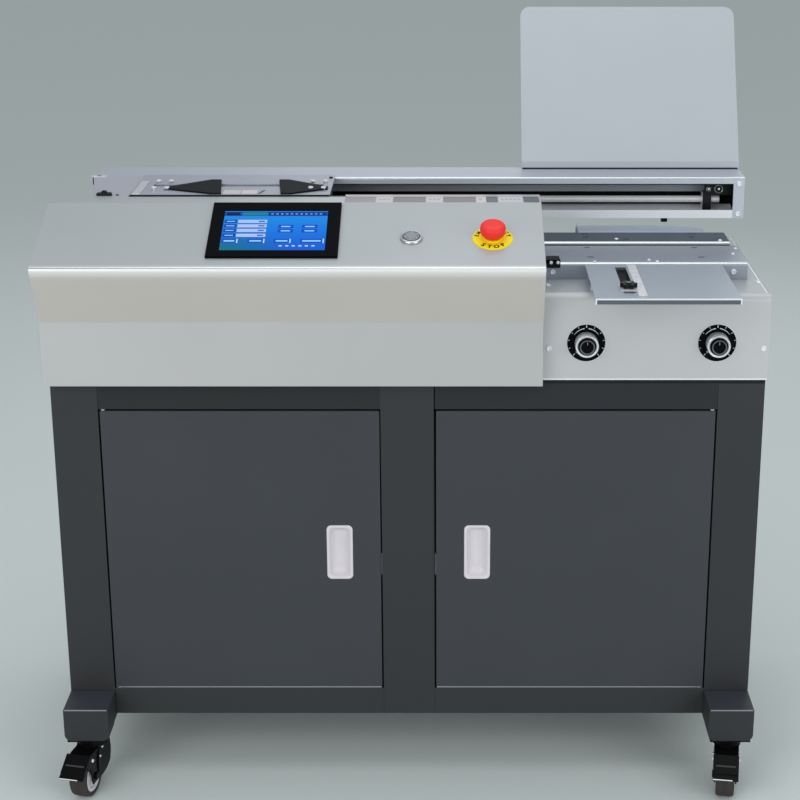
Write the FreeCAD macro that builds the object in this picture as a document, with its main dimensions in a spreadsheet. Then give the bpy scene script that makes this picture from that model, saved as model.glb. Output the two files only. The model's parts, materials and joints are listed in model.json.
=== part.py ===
import FreeCAD, Part
import os
import re
import Sketcher
from FreeCAD import Placement, Rotation, Vector

# Clamp-type perfect binding machine on a two-door cabinet with casters, in millimetres.
# X runs from the loading end to the nipping end, Y from the operator to the rear, Z up.
# Every place below is given from the cabinet's front plane (y = 0) and the floor (z = 0).
# Each finished piece is then shifted along Y, so that the origin is the centre of the
# machine's bounding box on the floor.

doc = FreeCAD.newDocument("PerfectBinder")

# ---------------------------------------------------------------- driving dimensions

DIMENSIONS = [
    # cabinet
    ("cabinet_width", 1200),
    ("cabinet_depth", 430),
    ("deck_level", 742),
    ("deck_thick", 6),
    ("post_face", 78),
    ("post_deep", 40),
    ("mullion_face", 90),
    ("low_rail_tall", 50),
    ("top_rail_tall", 46),
    ("rail_drop", 45),
    ("sheet", 2),
    ("louvre_wide", 130),
    ("louvre_tall", 6),
    ("louvre_pitch", 18),
    ("louvre_drop", 60),
    # foot bars
    ("foot_bar_wide", 78),
    ("foot_bar_tall", 60),
    ("foot_bar_reach", 75),
    ("foot_bar_round", 12),
    ("foot_bar_wall", 3),
    # doors
    ("door_gap", 3),
    ("door_deep", 18),
    ("door_skin", 2),
    ("pivot_inset", 5),
    ("pivot_radius", 2.5),
    ("pivot_reach", 10),
    ("pivot_collar", 2),
    ("pull_wide", 45),
    ("pull_tall", 100),
    ("pull_inset", 48),
    ("pull_lip", 1.5),
    ("pull_rim", 5),
    ("pull_deep", 13),
    ("pull_wall", 2),
    ("catch_wide", 14),
    ("catch_tall", 40),
    # casters
    ("caster_tall", 105),
    ("caster_inset", 37),
    ("caster_trail", 33),
    ("caster_plate", 70),
    ("caster_plate_thick", 3),
    ("race_radius", 24),
    ("race_tall", 11),
    ("crown_tall", 7.7),
    ("kingpin_radius", 5),
    ("kingpin_head_radius", 9),
    ("kingpin_head_tall", 5),
    ("wheel_radius", 37.5),
    ("wheel_wide", 32),
    ("wheel_hub_wall", 8),
    ("wheel_hub_taper", 2),
    ("wheel_dish", 6),
    ("tread_thick", 9),
    ("tread_round", 3),
    ("wheel_side_gap", 1.2),
    ("fork_thick", 2.5),
    ("fork_foot_half", 12),
    ("fork_foot_drop", 11),
    ("axle_radius", 4),
    ("axle_head_radius", 6.5),
    ("axle_head_thick", 3.5),
    ("left_caster_turn", -13),
    ("right_caster_turn", -9),
    # brake pedals
    ("pedal_pivot_ahead", 17),
    ("pedal_pivot_above", 38.5),
    ("pedal_pin_radius", 2),
    ("pedal_slope", 34),
    ("pedal_long", 35),
    ("pedal_thick", 3),
    ("pedal_lift", 10.3),
    ("pedal_lip", 11),
    ("pedal_arm_thick", 2),
    ("pedal_arm_gap", 0.4),
    ("pedal_arm_long", 20),
    ("shoe_start", 6),
    ("shoe_long", 16),
    ("shoe_deep", 11),
    # clearances
    ("running_fit", 0.05),
    ("seat_gap", 0.3),
    # control housing
    ("housing_overhang", 4),
    ("housing_right", 225),
    ("housing_foot_ahead", 36),
    ("waist_ahead", 31),
    ("waist_level", 851),
    ("nose_ahead", 82),
    ("nose_level", 953),
    ("panel_slope", 20.7),
    ("panel_long", 196),
    ("housing_gap", 3),
    ("bend_radius", 6),
    # operator screen
    ("screen_unit_middle", -217),
    ("screen_unit_wide", 214),
    ("screen_unit_tall", 160),
    ("screen_unit_start", 30),
    ("screen_unit_proud", 5),
    ("screen_unit_deep", 35),
    ("screen_unit_shoulder", 7),
    ("glass_wide", 171),
    ("glass_tall", 115),
    ("glass_start", 17),
    ("glass_thick", 1.5),
    # push buttons
    ("button_row", 88),
    ("panel_hole_radius", 11.15),
    ("barrel_radius", 11),
    ("barrel_deep", 25),
    ("stem_radius", 8),
    ("start_middle", 8),
    ("bezel_radius", 18.5),
    ("bezel_tall", 5),
    ("start_cap_radius", 13.3),
    ("start_cap_proud", 2),
    ("start_travel", 2.5),
    ("bezel_round", 2),
    ("cap_thick", 3),
    ("cap_chamfer", 1),
    ("stem_play", 2),
    ("estop_middle", 141),
    ("estop_disc_radius", 33),
    ("estop_disc_thick", 1.5),
    ("estop_collar_radius", 15),
    ("estop_collar_tall", 2),
    ("estop_head_radius", 21),
    ("estop_head_tall", 20),
    ("estop_travel", 4),
    ("estop_shoulder", 3),
    ("estop_under_round", 4),
    ("estop_under_tall", 6),
    ("estop_band_tall", 6),
    ("estop_dome_round", 3),
    ("estop_dome_drop", 2),
    ("estop_dome_inset", 9),
    ("contact_radius", 14),
    ("contact_deep", 22),
    # nipping station
    ("nip_left", 227),
    ("nip_overhang", 3),
    ("nip_body_tall", 149),
    ("nip_edge_radius", 15),
    ("dial_left_inset", 71),
    ("dial_right_inset", 84),
    ("dial_height", 65),
    ("dial_radius", 32.5),
    ("dial_thick", 1.5),
    ("knob_skirt_radius", 19.5),
    ("knob_skirt_tall", 8),
    ("knob_cap_radius", 14),
    ("knob_tall", 30),
    ("knob_skirt_edge", 2),
    ("knob_skirt_slope", 3),
    ("knob_round", 2),
    ("knob_shaft_radius", 3),
    ("knob_shaft_deep", 18),
    ("dial_hole_radius", 5),
    ("sensor_radius", 12),
    # nip jaws
    ("jaw_sheet", 2.5),
    ("jaw_inner_bend", 3.5),
    ("jaw_left_gap", 3),
    ("front_jaw_deep", 125),
    ("front_jaw_tall", 29),
    ("front_jaw_long", 347),
    ("nip_gap", 4),
    ("rear_jaw_deep", 74),
    ("rear_jaw_tall", 35),
    ("rear_jaw_long", 335),
    ("jaw_rod_radius", 6),
    ("jaw_rod_height", 14),
    ("jaw_rod_left", 83),
    ("jaw_rod_spacing", 192),
    ("jaw_rod_end_inset", 32),
    ("jaw_block_wide", 16),
    ("jaw_block_deep", 15),
    ("jaw_block_tall", 23),
    ("jaw_slot_long", 16),
    ("jaw_slot_wide", 4),
    ("front_slot_start", 40),
    ("rear_slot_inset", 14),
    ("nip_table_left", 262),
    ("nip_table_long", 286),
    ("nip_table_deep", 48),
    ("nip_table_thick", 25),
    ("nip_table_drop", 6),
    ("window_gap", 4),
    ("lift_radius", 25),
    ("lift_tall", 100),
    ("piston_radius", 8),
    ("piston_dip", 60),
    ("rear_plate_long", 230),
    ("rear_plate_left", 76),
    ("rear_plate_deep", 97),
    ("rear_plate_corner", 25),
    ("rear_plate_drop", 6),
    ("rear_plate_fence", 3),
    ("rear_fence_start", 12),
    ("switch_left", 236),
    ("switch_wide", 22),
    ("switch_deep", 22),
    ("switch_tall", 5),
    ("switch_inset", 7),
    # cover table
    ("table_left", 300),
    ("table_wide", 232),
    ("table_reach", 135),
    ("table_jaw_gap", 7),
    ("table_level", 918),
    ("table_flange", 9),
    ("table_tab_long", 12),
    ("table_slot_left", 49),
    ("table_slot_wide", 18),
    ("table_slot_start", 35),
    ("table_slot_end", 14),
    ("side_lay_wide", 14),
    ("side_lay_gap", 3),
    ("side_lay_start", 17),
    ("side_lay_end", 7),
    ("side_lay_tall", 2.5),
    ("stop_wide", 26),
    ("stop_deep", 36),
    ("stop_thick", 3),
    ("stop_start", 43),
    ("stop_knob_radius", 12),
    ("stop_knob_tall", 8),
    ("stop_knob_round", 2),
    ("stop_stud_radius", 3),
    ("stop_flute_radius", 3),
    ("bracket_start", 15),
    ("bracket_end_gap", 5),
    ("bracket_side_inset", 4),
    ("bracket_slot_gap", 12),
    ("bracket_lay_gap", 20),
    # beam
    ("beam_left", -570),
    ("beam_right", 604),
    ("beam_deep", 97),
    ("beam_low", 945),
    ("beam_high", 1020),
    ("beam_top_lip", 12),
    ("beam_low_lip", 15),
    ("end_cap_wide", 20),
    ("guide_radius", 6),
    ("guide_setback", 42),
    ("guide_height", 27),
    ("guide_start", 10),
    ("guide_end_inset", 39),
    ("guide_block_wide", 16),
    ("guide_block_deep", 24),
    ("guide_block_tall", 39),
    ("guide_block_inset", 16),
    ("upright_wide", 60),
    ("upright_deep", 80),
    ("upright_setback", 5),
    ("left_upright", -470),
    ("right_upright", 150),
    # belt drive
    ("pulley_radius", 15),
    ("pulley_tall", 14),
    ("pulley_setback", 74),
    ("pulley_height", 37),
    ("pulley_end_inset", 23),
    ("pulley_hub_radius", 9),
    ("hub_tall", 6),
    ("pulley_shaft_radius", 5),
    ("belt_thick", 2),
    ("belt_wide", 12),
    ("drive_motor_wide", 70),
    ("drive_motor_deep", 52),
    ("drive_motor_tall", 115),
    ("drive_motor_ahead", 34),
    ("motor_shaft_dip", 25),
    # clamp carriage
    ("carriage_left", -476),
    ("carriage_long", 342),
    ("plate_ahead", 67),
    ("carriage_gap", 2),
    ("carriage_plate_rise", 2),
    ("carriage_plate_thick", 3),
    ("mouth_setback", 208),
    ("mouth_end_inset", 16),
    ("mouth_inset", 29),
    ("mouth_overlap", 3),
    ("jaw_bottom", 948),
    ("clamp_jaw_thick", 15.5),
    ("clamp_jaw_gap", 1),
    ("clamp_plate_deep", 30),
    ("clamp_play", 2),
    ("back_plate_thick", 6),
    ("back_plate_low", 960),
    ("back_plate_inset", 6),
    ("side_plate_thick", 6),
    ("bearing_long", 60),
    ("bearing_inset", 26),
    ("bearing_wrap", 22),
    ("bearing_drop", 10),
    ("cylinder_wide", 40),
    ("cylinder_long", 52),
    ("cylinder_cap", 1),
    ("cylinder_inset", 76),
    ("cylinder_level", 985),
    ("rod_radius", 8),
    ("rod_long", 67),
    ("belt_clamp_inset", 146),
    ("belt_clamp_long", 40),
    ("belt_clamp_wall", 4.5),
    ("belt_clamp_tall", 21.5),
    ("edge_trim_inset", 4),
    ("edge_trim_wide", 13),
    ("edge_trim_long", 112),
    ("edge_trim_thick", 1.5),
    ("arm_thick", 3),
    ("arm_tip_half", 8),
    ("arm_tip_ahead", 18),
    ("arm_front_half", 65),
    ("arm_rear_half", 52),
    ("arm_end_slant", 12),
    ("arm_square", 18),
    ("left_arm_inset", 59),
    ("left_arm_long", 91),
    ("right_arm_inset", 6),
    ("right_arm_long", 84),
    ("arm_screw_radius", 4),
    ("arm_screw_tall", 5),
    ("arm_screw_front", 26),
    ("arm_screw_rear", 33),
    ("arm_screw_spacing", 22),
    ("left_screw_inset", 36),
    ("right_screw_inset", 13),
    # loading table, milling and gluing
    ("spine_table_left", -470),
    ("spine_table_long", 265),
    ("spine_table_deep", 85),
    ("spine_level", 938),
    ("spine_table_thick", 8),
    ("spine_leg_inset", 30),
    ("spine_leg_deep", 40),
    ("cutter_middle", -60),
    ("cutter_radius", 75),
    ("cutter_thick", 12),
    ("cutter_top", 942),
    ("cutter_rim", 18),
    ("cutter_dish", 5),
    ("cutter_notch_radius", 6),
    ("cutter_shaft_radius", 8),
    ("cutter_shaft_long", 60),
    ("motor_radius", 65),
    ("motor_tall", 148),
    ("motor_neck_radius", 40),
    ("motor_neck_tall", 15),
    ("duct_middle", -168),
    ("duct_radius", 30),
    ("duct_top", 925),
    ("duct_low", 470),
    ("duct_collar_radius", 38),
    ("duct_collar_tall", 3),
    ("tank_left", 25),
    ("tank_long", 170),
    ("tank_deep", 120),
    ("tank_low", 860),
    ("tank_tall", 70),
    ("tank_wall", 6),
    ("heater_thick", 10),
    ("heater_inset", 10),
    ("stand_inset", 35),
    ("roller_radius", 22),
    ("roller_level", 921),
    ("roller_inset", 45),
    ("roller_end_gap", 1),
    ("roller_axle_out", 2),
    ("roller_axle_radius", 5),
    ("glue_motor_wide", 50),
    ("glue_motor_deep", 56),
    ("glue_motor_tall", 48),
    ("glue_motor_gap", 2),
    ("glue_foot_inset", 6),
    ("coupling_long", 21),
    # covers and tray
    ("left_cover_left", -570),
    ("left_cover_slant", 35),
    ("rear_cover_gap", 5),
    ("tray_width", 400),
    ("tray_setback", 79),
    ("tray_foot", 16),
    ("tray_lip", 14),
    ("tray_lean", 30),
    ("tray_long", 305),
    ("tray_corner", 19),
    # inside the cabinet
    ("bin_left", -300),
    ("bin_long", 240),
    ("bin_start", 120),
    ("bin_deep", 250),
    ("bin_tall", 290),
    ("control_inset", 150),
    ("control_long", 300),
    ("control_start", 180),
    ("control_deep", 200),
    ("control_tall", 400),
    ("inlet_inset", 150),
    ("inlet_level", 230),
    ("inlet_wide", 60),
    ("inlet_tall", 45),
    ("inlet_thick", 3),
    ("inlet_body_deep", 25),
    # screws
    ("screw_radius", 4.5),
    ("screw_tall", 2.5),
    ("screw_side_inset", 9),
    ("screw_below_dial", 10),
    ("jaw_screw_left", 16),
    ("jaw_screw_right", 24),
    ("jaw_screw_height", 13),
    ("cap_screw_drop", 12),
    ("cap_screw_height", 8),
    ("top_screw_inset", 11),
    ("top_screw_right_ahead", 22),
    ("top_screw_left_ahead", 42),
]

# Places and lengths that follow from the sizes above.
DRIVEN = [
    ("beam_front", "cabinet_depth - beam_deep"),
    ("mouth_line", "cabinet_depth - mouth_setback"),
    ("mouth_long", "carriage_long - mouth_inset - mouth_end_inset"),
    ("carriage_start", "mouth_line - plate_ahead"),
    ("front_jaw_start", "mouth_line - front_jaw_deep"),
    ("jaw_rod_end", "cabinet_depth - jaw_rod_end_inset"),
    ("table_back", "front_jaw_start - table_jaw_gap"),
    ("table_slot_long", "table_back + table_reach - table_slot_start - table_slot_end"),
    ("side_lay_long", "table_back + table_reach - side_lay_start - side_lay_end"),
    ("bracket_deep", "table_back - bracket_start - bracket_end_gap"),
    ("control_left", "cabinet_width / 2 - control_inset - control_long"),
    ("inlet_middle", "cabinet_width / 2 - inlet_inset"),
]
LOUVRES = 8

dims = doc.addObject("Spreadsheet::Sheet", "Dims")
cells = [(alias, str(size)) for alias, size in DIMENSIONS]
cells += [(alias, f"={text}") for alias, text in DRIVEN]
for row, (alias, content) in enumerate(cells, 1):
    dims.set(f"A{row}", alias)
    dims.set(f"B{row}", content)
    dims.setAlias(f"B{row}", alias)
doc.recompute()

# ---------------------------------------------------------------- building blocks

FUNCTIONS = ("sin", "cos", "tan")
TURNS = {"x": (Vector(0, 1, 0), 90), "y": (Vector(1, 0, 0), -90), "z": (Vector(0, 0, 1), 0),
         "front": (Vector(1, 0, 0), 90), "panel": (Vector(1, 0, 0), "panel_slope"),
         "pedal": (Vector(1, 0, 0), "pedal_slope")}
PLANES = {"x": "YZ_Plane", "y": "XZ_Plane", "z": "XY_Plane"}
own_places = {}
nodes = []


def formula(text):
    """The same expression with each plain word pointed at its cell of the sheet."""
    def cell(match):
        word = match.group()
        return word if word in FUNCTIONS else "Dims." + word
    return re.sub(r"[a-z_]+", cell, str(text))


def number(text):
    """The present value of an expression."""
    return float(dims.evalExpression(formula(text)))


def bind(thing, path, text):
    thing.setExpression(path, formula(text))


def put(thing, at, turn="z"):
    """Place a shape by three expressions, with its own Z turned to the named direction."""
    axis, angle = TURNS[turn]
    thing.Placement = Placement(Vector(), Rotation(axis, 1))
    for letter, text in zip("xyz", at):
        bind(thing, f"Placement.Base.{letter}", text)
    bind(thing, "Placement.Rotation.Angle", angle)
    own_places[thing.Name] = at
    return thing


def box(size, at, turn="z"):
    solid = doc.addObject("Part::Box", "Block")
    for side, text in zip(("Length", "Width", "Height"), size):
        bind(solid, side, text)
    return put(solid, at, turn)


def span(low, high, turn="z"):
    """A block between two opposite corners."""
    size = [f"({end}) - ({start})" for start, end in zip(low, high)]
    return box(size, low, turn)


def cylinder(radius, length, at, turn="z"):
    solid = doc.addObject("Part::Cylinder", "Round")
    bind(solid, "Radius", radius)
    bind(solid, "Height", length)
    return put(solid, at, turn)


def fuse(*shapes):
    joined = doc.addObject("Part::MultiFuse", "Joined")
    joined.Shapes = list(shapes)
    return joined


def group(*shapes):
    """Separate solids held in one piece of the tree."""
    bundle = doc.addObject("Part::Compound", "Group")
    bundle.Links = list(shapes)
    return bundle


def cut(base, *tools):
    result = doc.addObject("Part::Cut", "Shaped")
    result.Base = base
    result.Tool = tools[0] if len(tools) == 1 else fuse(*tools)
    return result


def box_tube(low, high, along):
    """A square tube of plain sheet between two corners, open at its ends along one axis."""
    size = [f"({end}) - ({start})" for start, end in zip(low, high)]
    inner_size = [s if letter == along else f"({s}) - 2 * sheet" for letter, s in zip("xyz", size)]
    inner_low = [a if letter == along else f"({a}) + sheet" for letter, a in zip("xyz", low)]
    return cut(box(size, low), box(inner_size, inner_low))


def new_sketch(body, plane, points):
    """A closed outline on one of the body's own planes, each corner held by two distances."""
    sketch = body.newObject("Sketcher::SketchObject", "Outline")
    flat = [item for item in body.Origin.OriginFeatures if item.Role == PLANES[plane]][0]
    sketch.AttachmentSupport = [(flat, "")]
    sketch.MapMode = "FlatFace"
    corners = [Vector(number(a), number(b), 0) for a, b in points]
    for start, end in zip(corners, corners[1:] + corners[:1]):
        sketch.addGeometry(Part.LineSegment(start, end))
    for side in range(len(corners)):
        following = (side + 1) % len(corners)
        sketch.addConstraint(Sketcher.Constraint("Coincident", side, 2, following, 1))
    for side, (corner, texts) in enumerate(zip(corners, points)):
        for kind, place, text in zip(("DistanceX", "DistanceY"), corner, texts):
            held = sketch.addConstraint(Sketcher.Constraint(kind, -1, 1, side, 1, place))
            bind(sketch, f"Constraints[{held}]", text)
    return sketch


def prism(along, points, start, length, rounds=()):
    """A section pushed along an axis; rounds lists (corner numbers, radius) to fillet."""
    body = doc.addObject("PartDesign::Body", "Body")
    sketch = new_sketch(body, along, points)
    bind(sketch, "AttachmentOffset.Base.z", f"-({start})" if along == "y" else start)
    pad = body.newObject("PartDesign::Pad", "Pad")
    pad.Profile = sketch
    pad.Reversed = along == "y"
    bind(pad, "Length", length)
    doc.recompute()
    for corner_numbers, radius in rounds:
        solid = body.Tip
        names = [name for k in corner_numbers for name in edges_along(solid.Shape, along, points[k])]
        bend = body.newObject("PartDesign::Fillet", "Bend")
        bend.Base = (solid, names)
        bind(bend, "Radius", radius)
        doc.recompute()
    own_places[body.Name] = ("0", "0", "0")
    return body


def edges_along(shape, along, corner):
    """Names of the edges that run along an axis through one corner of the section."""
    sideways = [k for k in range(3) if "xyz"[k] != along]
    wanted = [number(text) for text in corner]
    names = []
    for index, edge in enumerate(shape.Edges, 1):
        ends = [vertex.Point for vertex in edge.Vertexes]
        if all(abs(end[k] - place) < 1e-4 for end in ends for k, place in zip(sideways, wanted)):
            names.append(f"Edge{index}")
    return names


def hollow(body, wall, open_sides):
    """Turn a solid body into a sheet shell that is open at the named outer sides."""
    solid = body.Tip
    bounds = solid.Shape.BoundBox
    limits = {"-y": (1, bounds.YMin), "+y": (1, bounds.YMax), "-z": (2, bounds.ZMin)}
    names = []
    for index, face in enumerate(solid.Shape.Faces, 1):
        box_of_face = face.BoundBox
        lows = (box_of_face.XMin, box_of_face.YMin, box_of_face.ZMin)
        highs = (box_of_face.XMax, box_of_face.YMax, box_of_face.ZMax)
        for axis, place in (limits[side] for side in open_sides):
            if abs(lows[axis] - place) < 1e-4 and abs(highs[axis] - place) < 1e-4:
                names.append(f"Face{index}")
    shell = body.newObject("PartDesign::Thickness", "Shell")
    shell.Base = (solid, names)
    shell.Reversed = True
    bind(shell, "Value", wall)
    doc.recompute()
    return body


def lathe(points, at, turn="z"):
    """A turned piece: corners are (radius, height) along its own axis."""
    body = doc.addObject("PartDesign::Body", "Turned")
    sketch = new_sketch(body, "y", points)
    turned = body.newObject("PartDesign::Revolution", "Revolution")
    turned.Profile = sketch
    turned.ReferenceAxis = (sketch, ["V_Axis"])
    turned.Angle = 360
    return put(body, at, turn)


def node(name, shape):
    """Finish a piece: its label, and the shift from the front plane to the origin."""
    shape.Label = name
    x, y, z = own_places.get(shape.Name, ("0", "0", "0"))
    bind(shape, "Placement.Base.y", f"({y}) + {front_plane}")
    nodes.append(shape)
    return shape


def swivel_node(name, shape, spot, turn):
    """Finish a caster piece that is built about its kingpin and stands turned about it."""
    holder = group(shape)
    holder.Placement = Placement(Vector(), Rotation(Vector(0, 0, 1), 1))
    holder.Label = name
    bind(holder, "Placement.Base.x", spot[0])
    bind(holder, "Placement.Base.y", f"({spot[1]}) + {front_plane}")
    bind(holder, "Placement.Rotation.Angle", turn or "0")
    nodes.append(holder)


# ---------------------------------------------------------------- places shared by several pieces

right_side = "cabinet_width / 2"
left_side = "-cabinet_width / 2"
left_end = "(-cabinet_width / 2 - housing_overhang)"
foot_top = "(caster_tall + foot_bar_tall)"
rail_low = f"({foot_top} - rail_drop)"
door_low = f"({rail_low} + low_rail_tall)"
deck_low = "(deck_level - deck_thick)"
door_high = f"({deck_low} - top_rail_tall)"
half_mullion = "mullion_face / 2"
rear_posts = "(cabinet_depth - post_deep)"

panel_top_y = "(-nose_ahead + panel_long * cos(panel_slope))"
panel_top_z = "(nose_level + panel_long * sin(panel_slope))"
housing_back = "(carriage_start - housing_gap)"

nip_top = "(deck_level + nip_body_tall)"
nip_right = "(cabinet_width / 2 + nip_overhang)"
nip_line = "(mouth_line + nip_gap)"
jaw_left = "(nip_left + jaw_left_gap)"
rod_level = f"({nip_top} + jaw_rod_height)"

beam_back = "cabinet_depth"
guide_y = "(beam_front + guide_setback)"
guide_z = "(beam_low + guide_height)"
pulley_y = "(beam_front + pulley_setback)"
pulley_z = "(beam_low + pulley_height)"
drive_x = "(beam_left + end_cap_wide + pulley_end_inset)"
idler_x = "(beam_right - end_cap_wide - pulley_end_inset)"

carriage_right = "(carriage_left + carriage_long)"
carriage_back_y = "(beam_front - carriage_gap)"
plate_low = "(beam_high + carriage_plate_rise)"
plate_high = f"({plate_low} + carriage_plate_thick)"
mouth_left = "(carriage_left + mouth_inset)"
mouth_right = "(carriage_left + mouth_inset + mouth_long)"

first_roller = "(tank_left + roller_inset)"
tray_front = "(beam_front + tray_setback)"
tray_back = f"({tray_front} + tray_long * sin(tray_lean) + sheet * cos(tray_lean))"
front_plane = f"(table_reach - {tray_back}) / 2"


def on_panel(x, up, out):
    """A point given across the sloping panel, up its slope from the nose, and out of its face."""
    y = f"(-nose_ahead + ({up}) * cos(panel_slope) - ({out}) * sin(panel_slope))"
    z = f"(nose_level + ({up}) * sin(panel_slope) + ({out}) * cos(panel_slope))"
    return x, y, z


# ---------------------------------------------------------------- cabinet

def make_posts():
    """Four corner tubes on the foot bars and the centre post between the doors."""
    posts = []
    for x in (left_side, f"{right_side} - post_face"):
        for y in ("0", rear_posts):
            posts.append(box_tube((x, y, foot_top), (f"{x} + post_face", f"{y} + post_deep", deck_low),
                                  "z"))
    centre = box_tube((f"-{half_mullion}", "0", rail_low), (half_mullion, "post_deep", deck_low), "z")
    plate = span((f"-{half_mullion}", "0", rail_low), (half_mullion, "post_deep", f"{rail_low} + sheet"))
    return [*posts, fuse(centre, plate)]


def make_rails():
    """Bottom and top rails: in two halves at the front, whole at the rear."""
    inner_left = f"{left_side} + post_face"
    inner_right = f"{right_side} - post_face"
    rails = []
    for low, high in ((rail_low, door_low), (door_high, deck_low)):
        for start, end in ((inner_left, f"-{half_mullion}"), (half_mullion, inner_right)):
            rails.append(box_tube((start, "0", low), (end, "post_deep", high), "x"))
        rails.append(box_tube((inner_left, rear_posts, low), (inner_right, "cabinet_depth", high), "x"))
    return rails


def make_foot_bars():
    """Two closed box bars, rounded along their lower edges, that carry the posts."""
    bars = []
    long = "cabinet_depth + 2 * foot_bar_reach"
    for x in (left_side, f"{right_side} - foot_bar_wide"):
        far = f"{x} + foot_bar_wide"
        outline = [(x, "caster_tall"), (far, "caster_tall"), (far, foot_top), (x, foot_top)]
        outer = prism("y", outline, "-foot_bar_reach", long, [((0, 1), "foot_bar_round")])
        inner_outline = [(f"{x} + foot_bar_wall", "caster_tall + foot_bar_wall"),
                         (f"{far} - foot_bar_wall", "caster_tall + foot_bar_wall"),
                         (f"{far} - foot_bar_wall", f"{foot_top} - foot_bar_wall"),
                         (f"{x} + foot_bar_wall", f"{foot_top} - foot_bar_wall")]
        inner = prism("y", inner_outline, "foot_bar_wall - foot_bar_reach", f"{long} - 2 * foot_bar_wall",
                      [((0, 1), "foot_bar_round - foot_bar_wall")])
        bars.append(cut(outer, inner))
    return bars


def make_cabinet_frame():
    """The welded frame: posts, rails and the two foot bars they stand on."""
    node("cabinet_frame", group(*make_posts(), *make_rails(), *make_foot_bars()))


def make_cabinet_sheets():
    """Two side sheets, the floor and the thicker deck that the machine stands on."""
    sides = [span((x, "post_deep", foot_top), (f"{x} + sheet", rear_posts, deck_low))
             for x in (left_side, f"{right_side} - sheet")]
    floor = span((f"{left_side} + sheet", "post_deep", foot_top),
                 (f"{right_side} - sheet", rear_posts, f"{foot_top} + sheet"))
    deck = span((left_side, "0", deck_low), (right_side, "cabinet_depth", "deck_level"))
    chip_hole = cylinder("duct_radius + seat_gap", "2 * deck_thick",
                         ("duct_middle", "mouth_line", f"{deck_low} - deck_thick / 2"))
    node("cabinet_sheets", group(*sides, floor, cut(deck, chip_hole)))


def make_back_panel():
    """Rear sheet with two banks of louvre slots and the opening of the power inlet."""
    back = "(cabinet_depth - sheet)"
    panel = span((f"{left_side} + post_face", back, door_low),
                 (f"{right_side} - post_face", "cabinet_depth", door_high))
    slots = []
    for side in (-1, 1):
        for step in range(LOUVRES):
            x = f"{side} * cabinet_width / 4 - louvre_wide / 2"
            z = f"{door_high} - louvre_drop - {step} * louvre_pitch"
            slots.append(box(("louvre_wide", "3 * sheet", "louvre_tall"), (x, f"{back} - sheet", z)))
    body_wide = "(inlet_wide - 4 * inlet_thick)"
    body_tall = "(inlet_tall - 4 * inlet_thick)"
    opening = box((body_wide, "3 * sheet", body_tall),
                  (f"inlet_middle - {body_wide} / 2", f"{back} - sheet",
                   f"inlet_level - {body_tall} / 2"))
    sheet_panel = cut(panel, *slots, opening)
    flange = box(("inlet_wide", "inlet_thick", "inlet_tall"),
                 ("inlet_middle - inlet_wide / 2", "cabinet_depth", "inlet_level - inlet_tall / 2"))
    body = box((f"{body_wide} - 2 * seat_gap", "inlet_body_deep", f"{body_tall} - 2 * seat_gap"),
               (f"inlet_middle - {body_wide} / 2 + seat_gap", "cabinet_depth - inlet_body_deep",
                f"inlet_level - {body_tall} / 2 + seat_gap"))
    socket = box((f"{body_wide} - 4 * inlet_thick", "inlet_body_deep", f"{body_tall} - 4 * inlet_thick"),
                 (f"inlet_middle - {body_wide} / 2 + 2 * inlet_thick",
                  "cabinet_depth - inlet_body_deep / 2",
                  f"inlet_level - {body_tall} / 2 + 2 * inlet_thick"))
    node("back_panel", group(sheet_panel, cut(fuse(flange, body), socket)))


# ---------------------------------------------------------------- doors

def make_doors():
    """Two folded pans, each hung on two pins beside its outer post, with a flush pull."""
    pins = []
    catches = []
    for side, name in ((-1, "left"), (1, "right")):
        hinge_edge = f"{side} * ({right_side} - post_face - door_gap)"
        free_edge = f"{side} * ({half_mullion} + door_gap)"
        x_low, x_high = (hinge_edge, free_edge) if side < 0 else (free_edge, hinge_edge)
        low = f"({door_low} + door_gap)"
        high = f"({door_high} - door_gap)"
        pan = span((x_low, "0", low), (x_high, "door_deep", high))
        inside = span((f"{x_low} + door_skin", "door_skin", f"{low} + door_skin"),
                      (f"{x_high} - door_skin", "door_deep + door_skin", f"{high} - door_skin"))
        pin_x = f"({hinge_edge} - {side} * pivot_inset)"
        bores = cylinder("pivot_radius + running_fit", f"{high} - {low}", (pin_x, "pivot_inset", low))
        pull_x = f"({free_edge} + {side} * (pull_inset + pull_wide / 2) - pull_wide / 2)"
        pull_z = f"(({door_low} + {door_high}) / 2 - pull_tall / 2)"
        opening = box(("pull_wide - 2 * pull_wall", "4 * door_skin", "pull_tall - 2 * pull_wall"),
                      (f"{pull_x} + pull_wall", "-2 * door_skin", f"{pull_z} + pull_wall"))
        node(f"door_{name}", cut(pan, inside, bores, opening))
        make_pull(f"door_pull_{name}", pull_x, pull_z)
        for z, rise in ((door_low, 1), (door_high, -1)):
            start = z if rise > 0 else f"{z} - door_gap - pivot_reach"
            collar = z if rise > 0 else f"{z} - door_gap + seat_gap"
            pin = cylinder("pivot_radius", "door_gap + pivot_reach", (pin_x, "pivot_inset", start))
            ring = cylinder("pivot_radius + pivot_collar", "door_gap - seat_gap",
                            (pin_x, "pivot_inset", collar))
            pins.append(fuse(pin, ring))
        catch_x = f"{side} * ({half_mullion} + catch_wide / 2) - catch_wide / 2"
        catches.append(span((catch_x, "door_deep + seat_gap", f"{pull_z}"),
                            (f"{catch_x} + catch_wide", "post_deep - sheet", f"{pull_z} + catch_tall")))
    node("door_fittings", group(*pins, *catches))


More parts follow.
